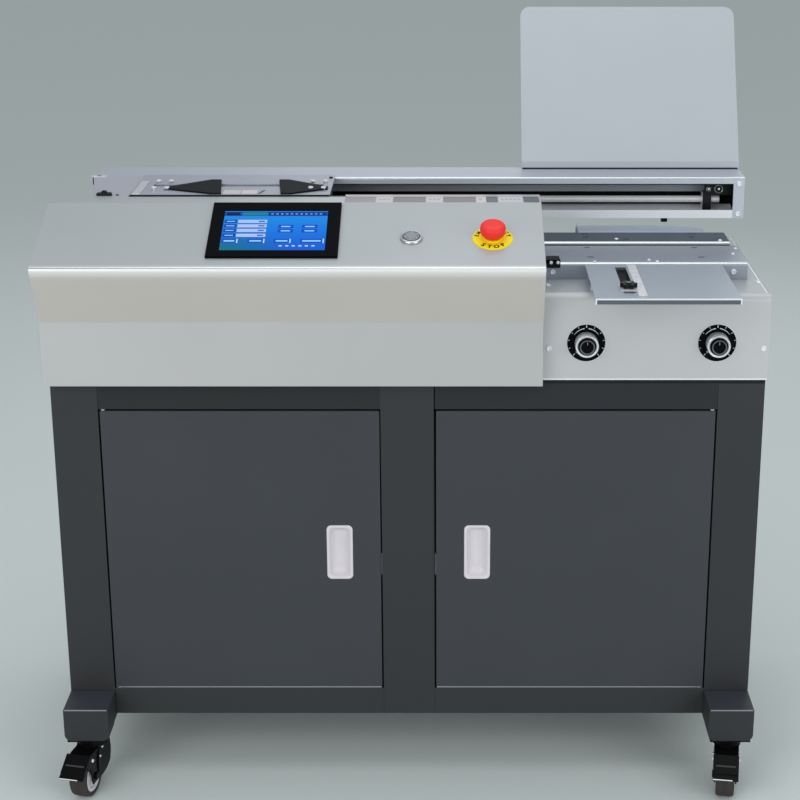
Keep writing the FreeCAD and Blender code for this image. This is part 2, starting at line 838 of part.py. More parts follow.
def make_pull(name, x, z):
    """A moulded cup with a thin rim over the door face and a finger pocket."""
    far, top = f"({x} + pull_wide)", f"({z} + pull_tall)"
    rim = prism("y", [(x, z), (far, z), (far, top), (x, top)], "-pull_lip", "pull_lip",
                [((0, 1, 2, 3), "pull_rim")])
    inset = "(pull_wall + seat_gap / 2)"
    cup = span((f"{x} + {inset}", "0", f"{z} + {inset}"),
               (f"{far} - {inset}", "pull_deep + pull_wall", f"{top} - {inset}"))
    pocket = span((f"{x} + pull_rim", "-2 * pull_lip", f"{z} + pull_rim"),
                  (f"{far} - pull_rim", "pull_deep", f"{top} - pull_rim"))
    node(name, cut(fuse(rim, cup), pocket))


# ---------------------------------------------------------------- casters, each built about its kingpin

front_y = "(caster_inset - foot_bar_reach)"
rear_y = "(cabinet_depth + foot_bar_reach - caster_inset)"
kingpin_x = f"({right_side} - foot_bar_wide / 2)"
CASTERS = (("front_left", (f"-{kingpin_x}", front_y), "left_caster_turn"),
           ("front_right", (kingpin_x, front_y), "right_caster_turn"),
           ("rear_left", (f"-{kingpin_x}", rear_y), None),
           ("rear_right", (kingpin_x, rear_y), None))
race_low = "(caster_tall - caster_plate_thick - race_tall)"
crown_top = f"({race_low} - seat_gap)"
crown_low = f"({crown_top} - crown_tall)"
leg_inner = "(wheel_wide / 2 + wheel_side_gap)"
leg_outer = f"({leg_inner} + fork_thick)"
pivot_y = "(-caster_trail - pedal_pivot_ahead)"
pivot_z = "(wheel_radius + pedal_pivot_above)"


def make_caster_plates():
    """Top plates with the race cup and the riveted kingpin."""
    mounts = []
    for _, (x, y), _ in CASTERS:
        plate = box(("caster_plate", "caster_plate", "caster_plate_thick"),
                    (f"{x} - caster_plate / 2", f"{y} - caster_plate / 2",
                     "caster_tall - caster_plate_thick"))
        head_low = f"({crown_low} - seat_gap - kingpin_head_tall)"
        pin = lathe([("0", head_low), ("kingpin_head_radius", head_low),
                     ("kingpin_head_radius", f"{crown_low} - seat_gap"),
                     ("kingpin_radius", f"{crown_low} - seat_gap"),
                     ("kingpin_radius", race_low), ("race_radius", race_low),
                     ("race_radius", "caster_tall - caster_plate_thick"),
                     ("0", "caster_tall - caster_plate_thick")],
                    (x, y, "0"))
        mounts.append(fuse(plate, pin))
    return mounts


def make_fork(braked):
    """Crown disc, two tapered legs and the axle bolt as one riveted piece."""
    crown = cylinder("race_radius", "crown_tall", ("0", "0", crown_low))
    web = span((f"-{leg_outer}", "-caster_trail - pedal_pivot_ahead + fork_thick", crown_low),
               (leg_outer, "race_radius - fork_thick", f"{crown_low} + fork_thick"))
    heel = "(race_radius - fork_thick)"
    foot_low = "(wheel_radius - fork_foot_drop)"
    outline = [(heel, f"{crown_low} + fork_thick"),
               (f"{pivot_y} + fork_thick", f"{crown_low} + fork_thick"),
               (f"{pivot_y} - 2 * fork_thick", f"{pivot_z} - fork_thick"),
               ("-caster_trail - fork_foot_half", foot_low), ("-caster_trail + fork_foot_half", foot_low),
               (f"{heel} - 2 * fork_thick", f"{crown_low} - fork_foot_drop")]
    legs = [prism("x", outline, start, "fork_thick") for start in (f"-{leg_outer}", leg_inner)]
    bolt_half = f"({leg_outer} + axle_head_thick)"
    axle = cylinder("axle_radius", f"2 * {bolt_half}", (f"-{bolt_half}", "-caster_trail", "wheel_radius"),
                    "x")
    heads = [cylinder("axle_head_radius", "axle_head_thick", (x, "-caster_trail", "wheel_radius"), "x")
             for x in (f"-{bolt_half}", leg_outer)]
    bore = cylinder("kingpin_radius + running_fit", "3 * crown_tall",
                    ("0", "0", f"{crown_low} - crown_tall"))
    tools = [bore]
    if braked:
        tools.append(cylinder("pedal_pin_radius + running_fit", f"4 * {leg_outer}",
                              (f"-2 * {leg_outer}", pivot_y, pivot_z), "x"))
    return cut(fuse(crown, web, *legs, axle, *heads), *tools)


def make_wheel():
    """Rounded tread on a recessed hub, bored for the axle."""
    half = "(wheel_wide / 2)"
    hub = "(axle_radius + wheel_hub_wall)"
    rim = "(wheel_radius - tread_thick)"
    side = [("axle_radius + running_fit", half), (hub, half),
            (f"{hub} + wheel_hub_taper", f"{half} - wheel_dish"), (rim, f"{half} - wheel_dish"),
            (f"{rim} + tread_round / 2", f"{half} - tread_round / 3"),
            ("wheel_radius - tread_round", half),
            ("wheel_radius - tread_round / 3", f"{half} - tread_round / 2"),
            ("wheel_radius", f"{half} - tread_round * 5 / 3")]
    mirrored = [(radius, f"-({height})") for radius, height in reversed(side)]
    return lathe(side + mirrored, ("0", "-caster_trail", "wheel_radius"), "x")


def make_pedal():
    """A pressed pedal on its cross pin, with side arms, a brake shoe and a turned-down lip."""
    arm_inner = f"({leg_outer} + pedal_arm_gap)"
    arm_outer = f"({arm_inner} + pedal_arm_thick)"
    pad_top = "(pedal_lift + pedal_thick)"
    pad = span((f"-{arm_outer}", "-pedal_long", "pedal_lift"), (arm_outer, "pedal_pin_radius", pad_top))
    lip = span((f"-{arm_outer}", "-pedal_long - pedal_lip", "pedal_lift - pedal_thick / 2"),
               (arm_outer, "-pedal_long", f"{pad_top} - pedal_thick / 2"))
    arms = [span((x, "-pedal_arm_long", "-2 * pedal_pin_radius"),
                 (f"{x} + pedal_arm_thick", "2 * pedal_pin_radius", "pedal_lift"))
            for x in (f"-{arm_outer}", arm_inner)]
    shoe_half = f"({leg_inner} - 2 * pedal_arm_gap)"
    shoe = span((f"-{shoe_half}", "-shoe_start - shoe_long", "pedal_lift - shoe_deep"),
                (shoe_half, "-shoe_start", "pedal_lift"))
    pin = cylinder("pedal_pin_radius", f"2 * {arm_outer}", (f"-{arm_outer}", "0", "0"), "x")
    return put(fuse(pad, lip, *arms, shoe, pin), ("0", pivot_y, pivot_z), "pedal")


def make_casters():
    """Braked swivel casters at the front, fixed casters at the rear."""
    fixed_forks = []
    for place, (x, y), turn in CASTERS:
        swivel_node(f"caster_wheel_{place}", make_wheel(), (x, y), turn)
        if turn is None:
            fixed_forks.append(put(make_fork(False), (x, y, "0")))
        else:
            swivel_node(f"caster_fork_{place}", make_fork(True), (x, y), turn)
            swivel_node(f"brake_pedal_{place}", make_pedal(), (x, y), turn)
    node("caster_mounts", group(*make_caster_plates(), *fixed_forks))


# ---------------------------------------------------------------- control housing and its panel

def make_housing():
    """One folded sheet with end cheeks, open at the rear and below."""
    profile = [("-housing_foot_ahead", "deck_level"), ("-waist_ahead", "waist_level"),
               ("-nose_ahead", "nose_level"), (panel_top_y, panel_top_z),
               (housing_back, panel_top_z), (housing_back, "deck_level")]
    shell = prism("x", profile, left_end, f"housing_right - {left_end}", [((1, 2, 3), "bend_radius")])
    hollow(shell, "sheet", ("+y", "-z"))
    body_left, body_start, body_wide, body_tall = screen_body()
    cutout = box((f"{body_wide} + 2 * seat_gap", f"{body_tall} + 2 * seat_gap", "4 * sheet"),
                 on_panel(f"{body_left} - seat_gap", f"{body_start} - seat_gap", "-3 * sheet"), "panel")
    holes = [cylinder("panel_hole_radius", "4 * sheet", on_panel(x, "button_row", "-3 * sheet"), "panel")
             for x in ("start_middle", "estop_middle")]
    node("control_housing", cut(shell, cutout, *holes))


def screen_body():
    """Left edge, start up the slope, width and height of the screen unit's body behind the panel."""
    left = "(screen_unit_middle - screen_unit_wide / 2 + screen_unit_shoulder)"
    start = "(screen_unit_start + screen_unit_shoulder)"
    wide = "(screen_unit_wide - 2 * screen_unit_shoulder)"
    tall = "(screen_unit_tall - 2 * screen_unit_shoulder)"
    return left, start, wide, tall


def make_screen():
    bezel = box(("screen_unit_wide", "screen_unit_tall", "screen_unit_proud"),
                on_panel("screen_unit_middle - screen_unit_wide / 2", "screen_unit_start", "0"), "panel")
    left, start, wide, tall = screen_body()
    body = box((wide, tall, "screen_unit_deep"), on_panel(left, start, "-screen_unit_deep"), "panel")
    glass_left = "screen_unit_middle - glass_wide / 2"
    glass_at = on_panel(glass_left, "screen_unit_start + glass_start", "screen_unit_proud - glass_thick")
    pocket = box(("glass_wide", "glass_tall", "2 * glass_thick"), glass_at, "panel")
    node("screen_case", cut(fuse(bezel, body), pocket))
    node("screen_glass", box(("glass_wide", "glass_tall", "glass_thick"), glass_at, "panel"))


def make_start_button():
    """Ring bezel with a threaded barrel, and the sprung cap on its stem."""
    at = on_panel("start_middle", "button_row", "0")
    cap_bore = "(start_cap_radius + seat_gap)"
    stem_bore = "(stem_radius + running_fit)"
    cap_top = "(bezel_tall + start_cap_proud)"
    cap_low = f"({cap_top} - cap_thick)"
    shelf = f"({cap_low} - start_travel - seat_gap)"
    node("start_bezel", lathe([(stem_bore, "-barrel_deep"), ("barrel_radius", "-barrel_deep"),
                               ("barrel_radius", "0"), ("bezel_radius", "0"),
                               ("bezel_radius", "bezel_tall - bezel_round"),
                               ("bezel_radius - bezel_round", "bezel_tall"), (cap_bore, "bezel_tall"),
                               (cap_bore, shelf), (stem_bore, shelf)], at, "panel"))
    stem_low = "(start_travel + stem_play - barrel_deep)"
    node("start_button", lathe([("0", stem_low), ("stem_radius", stem_low), ("stem_radius", cap_low),
                                ("start_cap_radius", cap_low),
                                ("start_cap_radius", f"{cap_top} - cap_chamfer"),
                                ("start_cap_radius - cap_chamfer", cap_top), ("0", cap_top)], at,
                               "panel"))


def make_estop():
    """Yellow disc, collar with barrel, sliding plunger and the mushroom head that twists on it."""
    at = on_panel("estop_middle", "button_row", "0")
    disc = lathe([("barrel_radius + seat_gap", "0"), ("estop_disc_radius", "0"),
                  ("estop_disc_radius", "estop_disc_thick"),
                  ("barrel_radius + seat_gap", "estop_disc_thick")], at, "panel")
    stem_bore = "(stem_radius + running_fit)"
    collar_top = "(estop_disc_thick + estop_collar_tall)"
    collar = lathe([(stem_bore, "-barrel_deep"), ("barrel_radius", "-barrel_deep"),
                    ("barrel_radius", "estop_disc_thick"), ("estop_collar_radius", "estop_disc_thick"),
                    ("estop_collar_radius", f"{collar_top} - cap_chamfer"),
                    ("estop_collar_radius - cap_chamfer", collar_top), (stem_bore, collar_top)], at,
                   "panel")
    node("estop_base", group(disc, collar))
    head_low = f"({collar_top} + estop_travel + seat_gap)"
    core = "(stem_radius - estop_shoulder)"
    core_top = f"({head_low} + estop_head_tall / 2)"
    stem_low = "(estop_travel + stem_play - barrel_deep)"
    node("estop_plunger", lathe([("0", stem_low), ("stem_radius", stem_low),
                                 ("stem_radius", f"{head_low} - seat_gap"),
                                 (core, f"{head_low} - seat_gap"), (core, core_top), ("0", core_top)], at,
                                "panel"))
    head_top = f"({head_low} + estop_head_tall)"
    band_low = f"({head_low} + estop_under_tall)"
    node("estop_head", lathe([(f"{core} + running_fit", head_low),
                              ("estop_head_radius - estop_under_round", head_low),
                              ("estop_head_radius", band_low),
                              ("estop_head_radius", f"{band_low} + estop_band_tall"),
                              ("estop_head_radius - estop_dome_round", f"{head_top} - estop_dome_drop"),
                              ("estop_head_radius - estop_dome_inset", head_top),
                              ("0", head_top), ("0", f"{core_top} + seat_gap"),
                              (f"{core} + running_fit", f"{core_top} + seat_gap")], at, "panel"))


def make_contact_blocks():
    return [cylinder("contact_radius", "contact_deep",
                     on_panel(x, "button_row", "-barrel_deep - contact_deep"), "panel")
            for x in ("start_middle", "estop_middle")]


# ---------------------------------------------------------------- nipping station

def dial_places():
    level = "(deck_level + dial_height)"
    return (("left", "(nip_left + dial_left_inset)", level),
            ("right", f"({right_side} - dial_right_inset)", level))


def make_nip_body():
    """Folded sheet body with a rounded front edge, open below, with a window for the lift table."""
    profile = [("0", "deck_level"), ("0", nip_top), ("cabinet_depth", nip_top),
               ("cabinet_depth", "deck_level")]
    shell = prism("x", profile, "nip_left", f"{nip_right} - nip_left",
                  [((1,), "nip_edge_radius"), ((2,), "bend_radius")])
    hollow(shell, "sheet", ("-z",))
    table_y = f"({nip_line} - nip_gap / 2 - nip_table_deep / 2)"
    window = box(("nip_table_long + 2 * window_gap", "nip_table_deep + 2 * window_gap", "4 * sheet"),
                 ("nip_table_left - window_gap", f"{table_y} - window_gap", f"{nip_top} - 3 * sheet"))
    holes = [cylinder("dial_hole_radius", "4 * sheet", (x, "3 * sheet", z), "front")
             for _, x, z in dial_places()]
    node("nip_body", cut(shell, window, *holes))


def make_dial_sensors():
    """The rotary sensors behind the sheet, bored for the knob shafts."""
    sensors = []
    for _, x, z in dial_places():
        sensor = cylinder("sensor_radius", "knob_shaft_deep", (x, "sheet + knob_shaft_deep", z), "front")
        bore = cylinder("knob_shaft_radius + running_fit", "2 * knob_shaft_deep",
                        (x, "knob_shaft_deep + seat_gap", z), "front")
        sensors.append(cut(sensor, bore))
    return sensors


def make_dials():
    """Dial discs on the sheet and a turned knob on each shaft."""
    discs = []
    skirt_low = "(dial_thick + seat_gap)"
    for side, x, z in dial_places():
        disc = cylinder("dial_radius", "dial_thick", (x, "0", z), "front")
        bore = cylinder("dial_hole_radius", "4 * dial_thick", (x, "dial_thick", z), "front")
        discs.append(cut(disc, bore))
        node(f"dial_knob_{side}",
             lathe([("0", "-knob_shaft_deep"), ("knob_shaft_radius", "-knob_shaft_deep"),
                    ("knob_shaft_radius", skirt_low), ("knob_skirt_radius", skirt_low),
                    ("knob_skirt_radius", f"{skirt_low} + knob_skirt_edge"),
                    ("knob_cap_radius + knob_skirt_slope", "knob_skirt_tall"),
                    ("knob_cap_radius", "knob_skirt_tall"), ("knob_cap_radius", "knob_tall - knob_round"),
                    ("knob_cap_radius - knob_round", "knob_tall"), ("0", "knob_tall")], (x, "0", z),
                   "front"))
    node("dial_discs", group(*discs))


def rod_places():
    first = f"({jaw_left} + jaw_rod_left)"
    return first, f"({first} + jaw_rod_spacing)"


def make_nip_jaws():
    """Fixed front jaw and sliding rear jaw: folded channels over two cross guide rods."""
    front_back = "(front_jaw_start + front_jaw_deep)"
    front = prism("x", [("front_jaw_start", nip_top), ("front_jaw_start", f"{nip_top} + front_jaw_tall"),
                        (front_back, f"{nip_top} + front_jaw_tall"), (front_back, nip_top)],
                  jaw_left, "front_jaw_long", [((1,), "jaw_sheet + jaw_inner_bend")])
    hollow(front, "jaw_sheet", ("-z",))
    rear_back = f"({nip_line} + rear_jaw_deep)"
    rear_low = f"({nip_top} + seat_gap)"
    rear = prism("x", [(nip_line, rear_low), (nip_line, f"{nip_top} + rear_jaw_tall"),
                       (rear_back, f"{nip_top} + rear_jaw_tall"), (rear_back, rear_low)],
                 jaw_left, "rear_jaw_long", [((1,), "jaw_sheet + jaw_inner_bend")])
    hollow(rear, "jaw_sheet", ("-z",))
    bores = {"front": [], "rear": []}
    for x in rod_places():
        for jaw, start, top, slot_y in (("front", f"{front_back} - 2 * jaw_sheet", "front_jaw_tall",
                                         "front_jaw_start + front_slot_start"),
                                        ("rear", f"{nip_line} - jaw_sheet", "rear_jaw_tall",
                                         f"{rear_back} - rear_slot_inset")):
            long = "rear_jaw_deep + 3 * jaw_sheet" if jaw == "rear" else "4 * jaw_sheet"
            bores[jaw].append(cylinder("jaw_rod_radius + running_fit", long, (x, start, rod_level), "y"))
            bores[jaw].append(box(("jaw_slot_long", "jaw_slot_wide", "4 * jaw_sheet"),
                                  (f"{x} - jaw_slot_long / 2", slot_y,
                                   f"{nip_top} + {top} - 2 * jaw_sheet")))
    node("nip_jaw_front", cut(front, *bores["front"]))
    node("nip_jaw_rear", cut(rear, *bores["rear"]))


def make_jaw_guides():
    rods = []
    blocks = []
    start = "(front_jaw_start + jaw_sheet)"
    for x in rod_places():
        rods.append(cylinder("jaw_rod_radius", f"jaw_rod_end - {start}", (x, start, rod_level), "y"))
        block_y = "(jaw_rod_end - jaw_block_deep)"
        block = box(("jaw_block_wide", "jaw_block_deep", "jaw_block_tall"),
                    (f"{x} - jaw_block_wide / 2", block_y, nip_top))
        bore = cylinder("jaw_rod_radius + running_fit", "3 * jaw_block_deep",
                        (x, f"{block_y} - jaw_block_deep", rod_level), "y")
        blocks.append(cut(block, bore))
    return [*rods, *blocks]


def make_rear_plate():
    """Rest plate behind the rear jaw: chamfered corner, front flange, low fence at its left edge."""
    front = f"({nip_line} + rear_jaw_deep)"
    back = f"({front} + rear_plate_deep)"
    left = f"({jaw_left} + rear_plate_left)"
    right = f"({left} + rear_plate_long)"
    outline = [(left, front), (right, front), (right, f"{back} - rear_plate_corner"),
               (f"{right} - rear_plate_corner", back), (left, back)]
    plate = prism("z", outline, "table_level - sheet", "sheet")
    flange = span((left, front, "table_level - rear_plate_drop"),
                  (right, f"{front} + sheet", "table_level"))
    fence = span((left, f"{front} + rear_fence_start", "table_level - sheet"),
                 (f"{left} + sheet", back, "table_level + rear_plate_fence"))
    node("rear_cover_plate", fuse(plate, flange, fence))


def make_lift_table():
    """Plate that rises through the body's window against the cover, on a short-stroke cylinder."""
    table_y = f"({nip_line} - nip_gap / 2 - nip_table_deep / 2)"
    top = f"({nip_top} - nip_table_drop)"
    low = f"({top} - nip_table_thick)"
    plate = span(("nip_table_left", table_y, low),
                 ("nip_table_left + nip_table_long", f"{table_y} + nip_table_deep", top))
    middle = ("(nip_table_left + nip_table_long / 2)", f"({nip_line} - nip_gap / 2)")
    piston = cylinder("piston_radius", "piston_dip", (*middle, f"{low} - piston_dip"))
    node("nip_table", fuse(plate, piston))
    housing = cylinder("lift_radius", "lift_tall", (*middle, "deck_level"))
    bore = cylinder("piston_radius + running_fit", "lift_tall",
                    (*middle, f"{low} - piston_dip - window_gap"))
    node("nip_fittings", group(cut(housing, bore), *make_jaw_guides()))


def make_switches():
    """Contact blocks of the buttons, sensors of the dials, and the limit switch on the front jaw."""
    limit = box(("switch_wide", "switch_deep", "switch_tall"),
                ("switch_left", "front_jaw_start + switch_inset", f"{nip_top} + front_jaw_tall"))
    node("switch_blocks", group(*make_contact_blocks(), *make_dial_sensors(), limit))


# ---------------------------------------------------------------- cover table

slot_left = "(table_left + table_slot_left)"
slot_start = "(table_slot_start - table_reach)"
stop_middle = ("(table_left + table_slot_left + table_slot_wide / 2)",
               "(stop_start + stop_deep / 2 - table_reach)")


def make_cover_table():
    """Thin plate with a folded front edge, short side tabs and a slot for the cover stop."""
    right = "(table_left + table_wide)"
    low = "(table_level - sheet)"
    plate = span(("table_left", "-table_reach", low), (right, "table_back", "table_level"))
    lip = span(("table_left", "-table_reach", "table_level - table_flange"),
               (right, "sheet - table_reach", "table_level"))
    tabs = [span((x, "-table_reach", "table_level - table_flange"),
                 (f"{x} + sheet", "table_tab_long - table_reach", "table_level"))
            for x in ("table_left", f"{right} - sheet")]
    slot = box(("table_slot_wide", "table_slot_long", "4 * sheet"),
               (slot_left, slot_start, f"{low} - sheet"))
    table = cut(fuse(plate, lip, *tabs), slot)
    brackets = [box_tube((start, "bracket_start", nip_top), (end, "bracket_start + bracket_deep", low),
                         "x")
                for start, end in (("table_left + bracket_side_inset", f"{slot_left} - bracket_slot_gap"),
                                   (f"{slot_left} + table_slot_wide + bracket_lay_gap",
                                    f"{right} - bracket_slot_gap"))]
    lay_left = f"({slot_left} + table_slot_wide + side_lay_gap)"
    side_lay = box(("side_lay_wide", "side_lay_long", "side_lay_tall"),
                   (lay_left, "side_lay_start - table_reach", "table_level"))
    node("cover_table", group(table, side_lay, *brackets))


def make_cover_stop():
    """Stop block over the slot, its nut plate below the table, and the thumb knob that clamps them."""
    x, y = stop_middle
    stud_bore = cylinder("stop_stud_radius + running_fit", "8 * stop_thick",
                         (x, y, "table_level - 4 * stop_thick"))
    top_left = f"({slot_left} + table_slot_wide + side_lay_gap - seat_gap - stop_wide)"
    block = box(("stop_wide", "stop_deep", "stop_thick"),
                (top_left, "stop_start - table_reach", "table_level + seat_gap"))
    nut_deep = "(stop_deep * 2 / 3)"
    nut = box(("stop_wide", nut_deep, "stop_thick"),
              (f"{x} - stop_wide / 2", f"{y} - {nut_deep} / 2",
               "table_level - sheet - seat_gap - stop_thick"))
    node("cover_stop", group(cut(block, stud_bore), cut(nut, stud_bore)))
    stud_low = "(0 - sheet - seat_gap - stop_thick)"
    knob_low = "(stop_thick + 2 * seat_gap)"
    knob_top = f"({knob_low} + stop_knob_tall)"
    knob = lathe([("0", stud_low), ("stop_stud_radius", stud_low), ("stop_stud_radius", knob_low),
                  ("stop_knob_radius", knob_low), ("stop_knob_radius", f"{knob_top} - stop_knob_round"),
                  ("stop_knob_radius - stop_knob_round", knob_top), ("0", knob_top)],
                 (x, y, "table_level"))
    flutes = []
    reach = "(stop_knob_radius + stop_flute_radius / 2)"
    for angle in range(30, 390, 60):
        flutes.append(cylinder("stop_flute_radius", "2 * stop_knob_tall",
                               (f"{x} + {reach} * cos({angle})", f"{y} + {reach} * sin({angle})",
                                "table_level + stop_thick")))
    node("stop_knob", cut(knob, *flutes))


# ---------------------------------------------------------------- beam and belt drive

def make_beam():
    """Long channel open to the front, with a folded lip along both edges."""
    inner_y, inner_back = "(beam_front + sheet)", f"({beam_back} - sheet)"
    low, high = "(beam_low + sheet)", "(beam_high - sheet)"
    profile = [("beam_front", "beam_low"), (beam_back, "beam_low"), (beam_back, "beam_high"),
               ("beam_front", "beam_high"), ("beam_front", "beam_high - beam_top_lip"),
               (inner_y, "beam_high - beam_top_lip"), (inner_y, high), (inner_back, high),
               (inner_back, low), (inner_y, low), (inner_y, "beam_low + beam_low_lip"),
               ("beam_front", "beam_low + beam_low_lip")]
    start = "(beam_left + end_cap_wide)"
    channel = prism("x", profile, start, f"beam_right - end_cap_wide - {start}")
    shaft_hole = cylinder("pulley_shaft_radius + seat_gap", "4 * sheet",
                          (drive_x, pulley_y, "beam_low - sheet"))
    caps = []
    for outer, inner, wall_side in (("beam_left", start, 1),
                                    ("beam_right", "(beam_right - end_cap_wide)", -1)):
        x_low, x_high = (outer, inner) if wall_side > 0 else (inner, outer)
        block = span((x_low, "beam_front", "beam_low"), (x_high, beam_back, "beam_high"))
        hollow_low = f"{x_low} + sheet" if wall_side > 0 else x_low
        hollow_high = x_high if wall_side > 0 else f"{x_high} - sheet"
        inside = span((hollow_low, inner_y, low), (hollow_high, inner_back, high))
        caps.append(cut(block, inside))
    upright_back = f"({beam_back} - upright_setback)"
    columns = [box_tube((x, f"{upright_back} - upright_deep", "deck_level"),
                        (f"{x} + upright_wide", upright_back, "beam_low"), "z")
               for x in ("left_upright", "right_upright")]
    node("beam", group(cut(channel, shaft_hole), *caps, *columns))


def make_guide():
    """Ground guide rod in two blocks on the beam's floor."""
    start = "(beam_left + guide_start)"
    end = "(beam_right - guide_end_inset)"
    rod = cylinder("guide_radius", f"{end} - {start}", (start, guide_y, guide_z), "x")
    blocks = []
    for x in (f"{start} + guide_block_inset - guide_block_wide / 2",
              f"{end} - guide_block_inset - guide_block_wide"):
        block = box(("guide_block_wide", "guide_block_deep", "guide_block_tall"),
                    (x, f"{guide_y} - guide_block_deep / 2", "beam_low + sheet"))
        bore = cylinder("guide_radius + running_fit", "3 * guide_block_wide",
                        (f"{x} - guide_block_wide", guide_y, guide_z), "x")
        blocks.append(cut(block, bore))
    node("beam_guide", group(rod, *blocks, make_idler_axle()))


def make_belt_drive():
    """Tooth belt round a driven and an idling pulley inside the beam."""
    inner = "(pulley_radius + seat_gap)"
    outer = f"({inner} + belt_thick)"
    belt_low = f"({pulley_z} + (pulley_tall - belt_wide) / 2)"

    def loop(radius, low, tall):
        run = span((drive_x, f"{pulley_y} - {radius}", low),
                   (idler_x, f"{pulley_y} + {radius}", f"{low} + {tall}"))
        ends = [cylinder(radius, tall, (x, pulley_y, low)) for x in (drive_x, idler_x)]
        return fuse(run, *ends)

    node("drive_belt", cut(loop(outer, belt_low, "belt_wide"),
                           loop(inner, f"{belt_low} - 1", "(belt_wide + 2)")))
    top = f"({pulley_z} + pulley_tall)"
    hub_low = f"({pulley_z} - hub_tall)"
    shaft_low = "(beam_low - motor_shaft_dip)"
    node("drive_pulley", lathe([("0", shaft_low), ("pulley_shaft_radius", shaft_low),
                                ("pulley_shaft_radius", hub_low),
                                ("pulley_hub_radius", hub_low), ("pulley_hub_radius", pulley_z),
                                ("pulley_radius", pulley_z), ("pulley_radius", top), ("0", top)],
                               (drive_x, pulley_y, "0")))
    bore = "(pulley_shaft_radius + running_fit)"
    node("idler_pulley", lathe([(bore, hub_low), ("pulley_hub_radius", hub_low),
                                ("pulley_hub_radius", pulley_z),
                                ("pulley_radius", pulley_z), ("pulley_radius", top), (bore, top)],
                               (idler_x, pulley_y, "0")))


def make_idler_axle():
    low, high = "(beam_low + sheet)", "(beam_high - sheet)"
    collar_top = f"({pulley_z} - hub_tall - seat_gap)"
    return lathe([("0", low), ("pulley_hub_radius", low), ("pulley_hub_radius", collar_top),
                  ("pulley_shaft_radius", collar_top), ("pulley_shaft_radius", high), ("0", high)],
                 (idler_x, pulley_y, "0"))


def make_drive_motor():
    """Square gear motor hung under the beam's floor, bored for the pulley shaft."""
    motor = box(("drive_motor_wide", "drive_motor_deep", "drive_motor_tall"),
                (f"{drive_x} - drive_motor_wide / 2", f"{pulley_y} - drive_motor_ahead",
                 "beam_low - drive_motor_tall"))
    shaft_bore = cylinder("pulley_shaft_radius + running_fit", "2 * motor_shaft_dip",
                          (drive_x, pulley_y, "beam_low - motor_shaft_dip - seat_gap"))
    return cut(motor, shaft_bore)


# ---------------------------------------------------------------- clamp carriage

def make_carriage_plate():
    """Top plate with the clamp mouth, and the raised trim beside its left edge."""
    plate = span(("carriage_left", "carriage_start", plate_low),
                 (carriage_right, carriage_back_y, plate_high))
    mouth = span((mouth_left, "mouth_line", f"{plate_low} - sheet"),
                 (mouth_right, "mouth_line + clamp_plate_deep - mouth_overlap", f"{plate_high} + sheet"))
    trim_left = "(carriage_left + edge_trim_inset)"
    trim = span((trim_left, "carriage_start", plate_high),
                (f"{trim_left} + edge_trim_wide", "carriage_start + edge_trim_long",
                 f"{plate_high} + edge_trim_thick"))
    node("carriage_plate", group(cut(plate, mouth), trim))


def make_carriage_frame():
    """Back plate, two side plates, the fixed jaw and the air cylinders bolted to it."""
    left = "(carriage_left + back_plate_inset)"
    right = f"({carriage_right} - back_plate_inset)"
    back_front = f"({carriage_back_y} - back_plate_thick)"
    back = span((left, back_front, "back_plate_low"), (right, carriage_back_y, plate_low))
    jaw_front = "(mouth_line - clamp_jaw_thick)"
    sides = [span((x, jaw_front, "back_plate_low"), (f"{x} + side_plate_thick", back_front, plate_low))
             for x in (left, f"({right} - side_plate_thick)")]
    jaw = span((f"{left} + side_plate_thick", jaw_front, "jaw_bottom"),
               (f"{right} - side_plate_thick", "mouth_line", plate_low))
    bores = [cylinder("rod_radius + running_fit", "3 * clamp_jaw_thick",
                      (x, f"{jaw_front} - clamp_jaw_thick", "cylinder_level"), "y")
             for x in cylinder_places()]
    node("carriage_frame", group(back, *sides, cut(jaw, *bores), *make_air_cylinders(jaw_front)))


def make_air_cylinders(jaw_front):
    cylinders = []
    y = f"({jaw_front} - cylinder_long)"
    for x in cylinder_places():
        block = box(("cylinder_wide", "cylinder_long", "cylinder_wide"),
                    (f"{x} - cylinder_wide / 2", y, "cylinder_level - cylinder_wide / 2"))
        bore = cylinder("rod_radius + running_fit", "cylinder_long",
                        (x, f"{y} + cylinder_cap", "cylinder_level"), "y")
        cylinders.append(cut(block, bore))
    return cylinders


def cylinder_places():
    return f"({mouth_left} + cylinder_inset)", f"({mouth_right} - cylinder_inset)"


def make_moving_jaw():
    """Angle jaw that closes on the book from the rear, pulled by two piston rods."""
    face = "(mouth_line + clamp_jaw_gap)"
    top = f"({plate_low} - seat_gap)"
    under = f"({top} - carriage_plate_thick)"
    jaw = prism("x", [(face, "jaw_bottom"), (f"{face} + clamp_jaw_thick", "jaw_bottom"),
                      (f"{face} + clamp_jaw_thick", under),
                      (f"{face} + clamp_plate_deep", under), (f"{face} + clamp_plate_deep", top),
                      (face, top)],
                f"{mouth_left} + clamp_play", "mouth_long - 2 * clamp_play")
    rods = [cylinder("rod_radius", "rod_long", (x, f"{face} - rod_long", "cylinder_level"), "y")
            for x in cylinder_places()]
    node("clamp_jaw", group(jaw, *rods))


